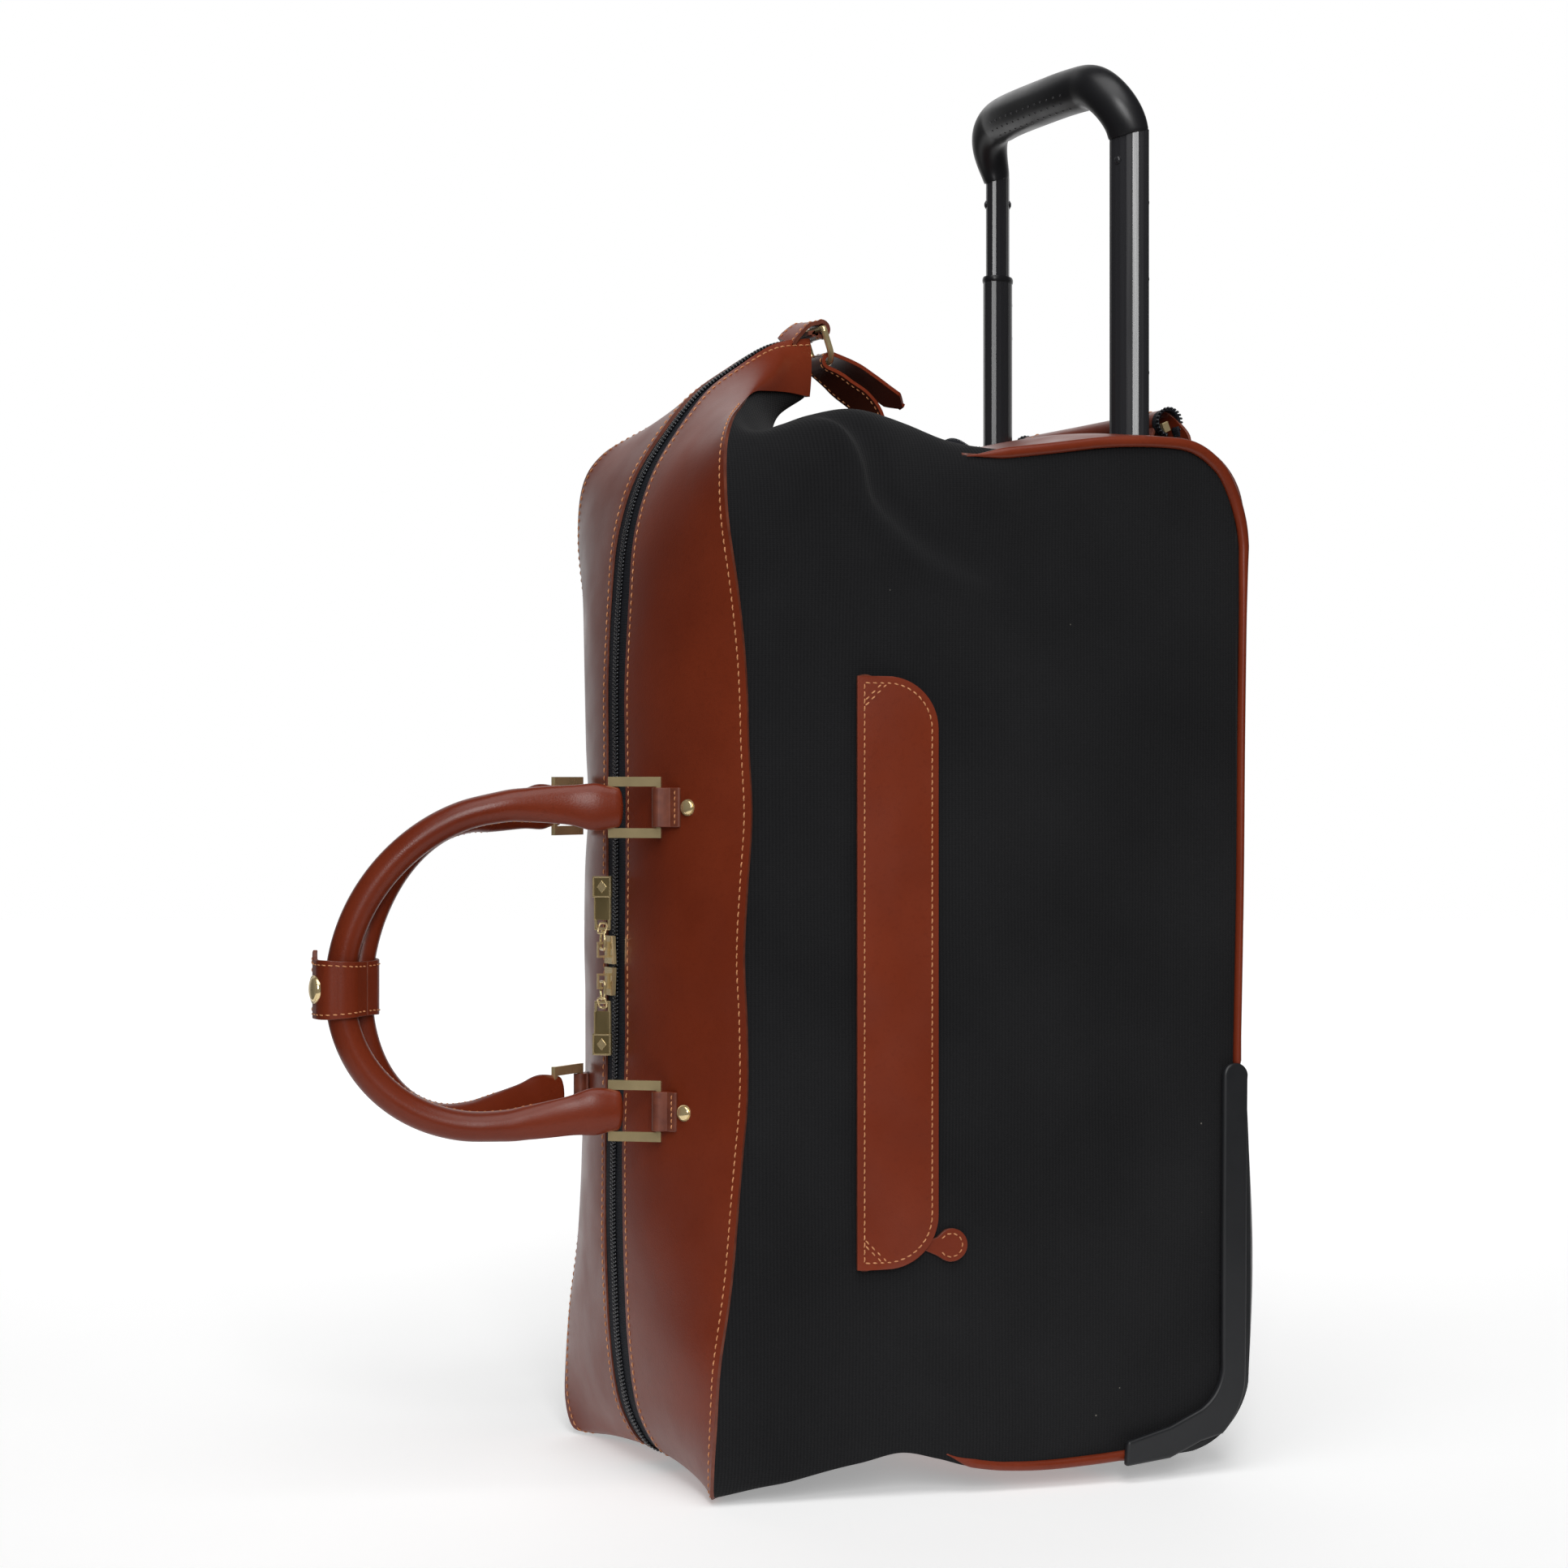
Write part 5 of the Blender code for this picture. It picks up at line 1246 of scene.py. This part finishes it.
def wheels():
    """Ribbed rubber tyre on a spoked hub."""
    w, r = 0.011, WHEEL_R
    tyre = [(w, 0.0192), (w, r - 0.0034), (w - 0.0012, r - 0.001), (w - 0.0034, r), (0.0016, r),
            (0.001, r - 0.001)]
    tyre = [(-h, radius) for h, radius in tyre] + tyre[::-1]
    rim = w - 0.001
    hub = [(-rim, 0.0188), (rim, 0.0188), (rim, 0.016), (0.0035, 0.015), (0.0035, 0.0078), (rim, 0.0072),
           (rim, 0.0041), (-rim, 0.0041), (-rim, 0.0072), (-0.0035, 0.0078), (-0.0035, 0.015), (-rim, 0.016)]
    for name, side in SIDES.items():
        body = name + "_wheel"
        centre = np.array((WHEEL_X, side * WHEEL_Y, WHEEL_R))
        made = turned(name + "_rubber_tyre", tyre, centre, (0, 1, 0), RUBBER, body, sides=96, sharp=50)
        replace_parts(made, name + "_tyre")
        made = turned(name + "_wheel_hub", hub, centre, (0, 1, 0), GUARD_PLASTIC, body, sides=64)
        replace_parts(made, name + "_hub")
        for k, a in enumerate(full_turn(5)):
            along = np.array((math.cos(a), 0, math.sin(a)))
            axes = (along, np.cross(along, (0, 1, 0)), (0, 1, 0))
            block(f"{name}_spoke_{k + 1}", centre + along * 0.0113, (0.0042, 0.0014, 0.009), axes,
                  GUARD_PLASTIC, body)
        finish_node(name + "_axle", STEEL, 0.0005)
        finish_node(name + "_wheel_fork", GUARD_PLASTIC, 0.0008)


# ---- Trolley ----

GRIP_END_Z = 0.7757
GRIP_BOW = 0.016
UPPER_OVAL = (0.0119, 0.007)
MID_OVAL = (0.01365, 0.00875)


def from_tube(side, u, v):
    """Lengths along a tube's long and short axes, turned into x and y."""
    turn = math.radians(45) * side
    return u * math.cos(turn) - v * math.sin(turn), u * math.sin(turn) + v * math.cos(turn)


def oval_ring(semi, side, z, sides):
    """Points round a tube's oval at this height."""
    a = full_turn(sides)
    x, y = from_tube(side, semi[0] * np.cos(a), semi[1] * np.sin(a))
    return coords(TUBE_X + x, side * TUBE_Y + y, z)


def collar(name, semi, grow, side, low, high, look, body):
    """Moulded ring round a tube, with rounded edges."""
    sides, bore = 64, -0.0002
    profile = [(low, 0.0), (low + 0.0008, grow * 0.8), (low + 0.002, grow), (high - 0.002, grow),
               (high - 0.0008, grow * 0.8), (high, 0.0), (high, bore), (low, bore)]
    grid = np.array([oval_ring((semi[0] + g, semi[1] + g), side, z, sides) for z, g in profile])
    return piece(name, grid, grid_faces(len(grid), sides, wrap=True, closed=True), look, body, sharp=50)


def on_tube(semi, side, angle, z):
    """Point and outward normal on a tube, at this angle round its oval from its long axis, in degrees."""
    c, s = math.cos(math.radians(angle)), math.sin(math.radians(angle))
    x, y = from_tube(side, semi[0] * c, semi[1] * s)
    normal = unit(np.array((*from_tube(side, c / semi[0], s / semi[1]), 0.0)))
    return np.array((TUBE_X + x, side * TUBE_Y + y, z)), normal


def trolley():
    """Telescopic tubes, with the rivets of the grip, the drawn stage's collar and the crimped stops."""
    for name, side in SIDES.items():
        for stage in ("upper", "middle", "outer"):
            finish_node(f"{name}_{stage}_tube", TUBE)
        for k, (height, angle) in enumerate(((0.76, -118), (0.761, 62))):
            point, normal = on_tube(UPPER_OVAL, side, angle * -side, height)
            dome(f"{name}_grip_rivet_{k + 1}", point, normal, 0.0026, 0.0011, TUBE, "trolley_handle",
                 rim=0.25)
    finish_node("tube_bezel", GUARD_PLASTIC, 0.0008)
    finish_node("tube_foot", GUARD_PLASTIC, 0.0008)
    collar("far_stage_collar", MID_OVAL, 0.0005, 1, 0.7102, 0.714, GRIP_PLASTIC, "far_stage")
    for k, height in enumerate((0.697, 0.676)):
        point, normal = on_tube(MID_OVAL, 1, -62, height)
        dome(f"far_stage_button_{k + 1}", point - normal * 0.0011, normal, 0.0034, 0.0012, GRIP_PLASTIC,
             "far_stage", rim=0.3)
    for k, height in enumerate((0.735, 0.69, 0.635)):
        point, normal = on_tube(UPPER_OVAL, -1, 20, height)
        dome(f"near_tube_stop_{k + 1}", point - normal * 0.0007, normal, 0.0018, 0.0008, TUBE,
             "trolley_handle")


def grip_x(y):
    """Middle of the grip at y: it bows forwards from the tubes."""
    return TUBE_X - GRIP_BOW * (1 - (abs(y) / TUBE_Y) ** 3.6)


def grip_line():
    """Centre line of the grip from the near tube over to the far one. With each point goes the share of its
    shoulder that is passed there."""
    bend, leg_top = 0.029, 0.7785
    reach = TUBE_Y - bend
    shoulder = [(0.0, GRIP_END_Z - leg_top), (0.0, -0.003), (0.0, 0.0)]
    shoulder += [(bend - x, z) for x, z in arc(0.0, 0.0, bend, 0, 90, 16)][1:]
    stations = [(-TUBE_Y + y, leg_top + z, i / (len(shoulder) - 1)) for i, (y, z) in enumerate(shoulder)]
    across = [(reach * k / 8, leg_top + bend, 1.0) for k in range(-7, 8)]
    stations += across + [(-y, z, share) for y, z, share in reversed(stations)]
    path = [(grip_x(y) - 0.005 * math.sin(math.pi * share) ** 1.3, y, z) for y, z, share in stations]
    return np.array(path), np.array([share for _, _, share in stations])


def grip():
    """Arched handle that carries on from the tubes, with a pocket for its button and a dotted underside."""
    body = "trolley_handle"
    sides, radius, top, above, gap = 48, 0.0132, 0.8198, 0.83, 0.0004
    path, share = grip_line()
    tangent = unit(np.gradient(path, axis=0))
    tangent[0], tangent[-1] = (0, 0, 1), (0, 0, -1)
    deep = unit(np.array((1.0, 0, 0)) - tangent * tangent[:, :1])
    inward = np.cross(tangent, deep)
    size = np.array(UPPER_OVAL) + 0.0003 + (radius - np.array(UPPER_OVAL)) * share[:, None] ** 0.8
    turn = full_turn(sides)
    u, v = from_tube(-1, size[:, :1] * np.cos(turn), size[:, 1:] * np.sin(turn))
    rings = path[:, None] + u[..., None] * deep[:, None] + v[..., None] * inward[:, None]
    faces = grid_faces(len(path), sides, wrap=True) + end_faces(len(path), sides)
    made = piece("moulded_grip", rings, faces, GRIP_PLASTIC, body, sharp=60)
    smooth = made.modifiers.new("smooth", "SUBSURF")
    smooth.levels = smooth.render_levels = 1
    settled(made)
    low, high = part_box("release_button")
    x, half_x, half_y = (low.x + high.x) / 2, (high.x - low.x) / 2, (high.y - low.y) / 2
    floor = low.z - 0.0036
    cut(made, block("pocket", np.array((x, 0.0, (floor + above) / 2)),
                    (half_x + gap, half_y + gap, (above - floor) / 2),
                    AXES, GRIP_PLASTIC, body, 0.0))
    made.data.shade_smooth()
    made.data.set_sharp_from_angle(angle=math.radians(45))
    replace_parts(made, "grip")
    button = block("thumb_button", np.array((x, 0.0, (low.z + top) / 2)), (half_x, half_y, (top - low.z) / 2),
                   AXES, GRIP_PLASTIC, "release_button", 0.002, 4)
    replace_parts(button, "release_button")
    centres, ups = [], []
    for row, angle in enumerate((200, 222, 244)):
        out = np.array((math.cos(math.radians(angle)), 0.0, math.sin(math.radians(angle))))
        for k in range(13):
            y = -0.045 + 0.007 * k + 0.0035 * (row % 2)
            centres.append(np.array((grip_x(y), y, 0.8075)) + out * 0.0131)
            ups.append(out)
    capsules("grip_dots", centres, [(0, 1, 0)] * len(centres), ups, 0.00085, 0.00085, TUBE, body)


# ---- Stage ----

def area_light(name, location, target, size, power):
    data = bpy.data.lights.new(name, "AREA")
    data.shape = "RECTANGLE"
    data.size, data.size_y = size
    data.energy = power
    obj = bpy.data.objects.new(name, data)
    obj.location = location
    obj.rotation_euler = (Vector(target) - Vector(location)).to_track_quat("-Z", "Y").to_euler()
    bpy.context.scene.collection.objects.link(obj)


def studio():
    """White wall behind the object in an otherwise dim room."""
    world = bpy.data.worlds.new("studio")
    bpy.context.scene.world = world
    world.use_nodes = True
    tree = world.node_tree
    direction = tree.nodes.new("ShaderNodeTexCoord").outputs["Generated"]
    ahead = tree.nodes.new("ShaderNodeVectorMath")
    ahead.operation = "DOT_PRODUCT"
    ahead.inputs[1].default_value = VIEW
    tree.links.new(direction, ahead.inputs[0])
    wall = tree.nodes.new("ShaderNodeMapRange")
    for socket, number in (("From Min", 0.6), ("From Max", 0.93), ("To Min", 0.07), ("To Max", 1.0)):
        wall.inputs[socket].default_value = number
    tree.links.new(ahead.outputs["Value"], wall.inputs["Value"])
    background = tree.nodes["Background"]
    background.inputs["Color"].default_value = (1.0, 1.0, 1.0, 1.0)
    tree.links.new(wall.outputs["Result"], background.inputs["Strength"])


def stage():
    """Camera, lights and a pale floor that shades off towards the camera."""
    data = bpy.data.cameras.new("camera")
    data.lens = 72.4
    data.sensor_width = 36.0
    data.shift_y = -0.0031
    camera = bpy.data.objects.new("camera", data)
    camera.location = (-0.763, -1.677, 0.396)
    camera.rotation_euler = (math.radians(90), 0.0, math.radians(-25))
    bpy.context.scene.collection.objects.link(camera)
    bpy.context.scene.camera = camera

    bpy.context.scene.view_settings.view_transform = "Standard"
    studio()
    area_light("overhead", (-0.3, -0.9, 2.2), (0.0, 0.0, 0.0), (1.6, 1.6), 26.0)
    area_light("key", (-0.8, -2.05, 1.2), (0.0, 0.0, 0.4), (0.55, 1.2), 30.0)
    area_light("back", (0.1, 1.35, 1.8), (0.0, 0.0, 0.45), (1.5, 0.9), 3.0)

    mesh = bpy.data.meshes.new("floor")
    ahead, right = np.array(VIEW), np.array((VIEW[1], -VIEW[0], 0.0))
    corners = [ahead * far + right * half
               for far, half in ((-0.65, -0.5), (-0.65, 0.62), (7.0, 2.9), (7.0, -2.5))]
    mesh.from_pydata([tuple(c) for c in corners], [], [(0, 1, 2, 3)])
    floor = bpy.data.objects.new("floor", mesh)
    made = Look("pale_floor", None, (0.86, 0.86, 0.86), 0.7, Emission_Color=(1.0, 1.0, 1.0, 1.0))
    made.colour(made.spread(made.noise(3.0), 0.3, 0.7), (0.86, 0.86, 0.86), (0.89, 0.89, 0.89))
    # Painted light: the floor glows faintly near the camera and brightly far off, so that it blends into the
    # white wall
    away = made.tree.nodes.new("ShaderNodeVectorMath")
    away.operation = "DOT_PRODUCT"
    away.inputs[1].default_value = VIEW
    made.link(made.coordinates, away.inputs[0])
    made.link(made.spread(away.outputs["Value"], -0.5, 2.2, 0.2, 0.95),
              made.shader.inputs["Emission Strength"])
    mesh.materials.append(made.made)
    bpy.context.scene.collection.objects.link(floor)


def main():
    stage()
    canvas_body()
    front_panels()
    main_zip()
    caps()
    opening_zip()
    piping()
    back_panel()
    trolley_cover()
    pocket()
    carry_handles()
    rings_and_tabs()
    handle_wraps()
    sliders()
    upper_end()
    housing()
    guards()
    wheels()
    trolley()
    grip()


main()
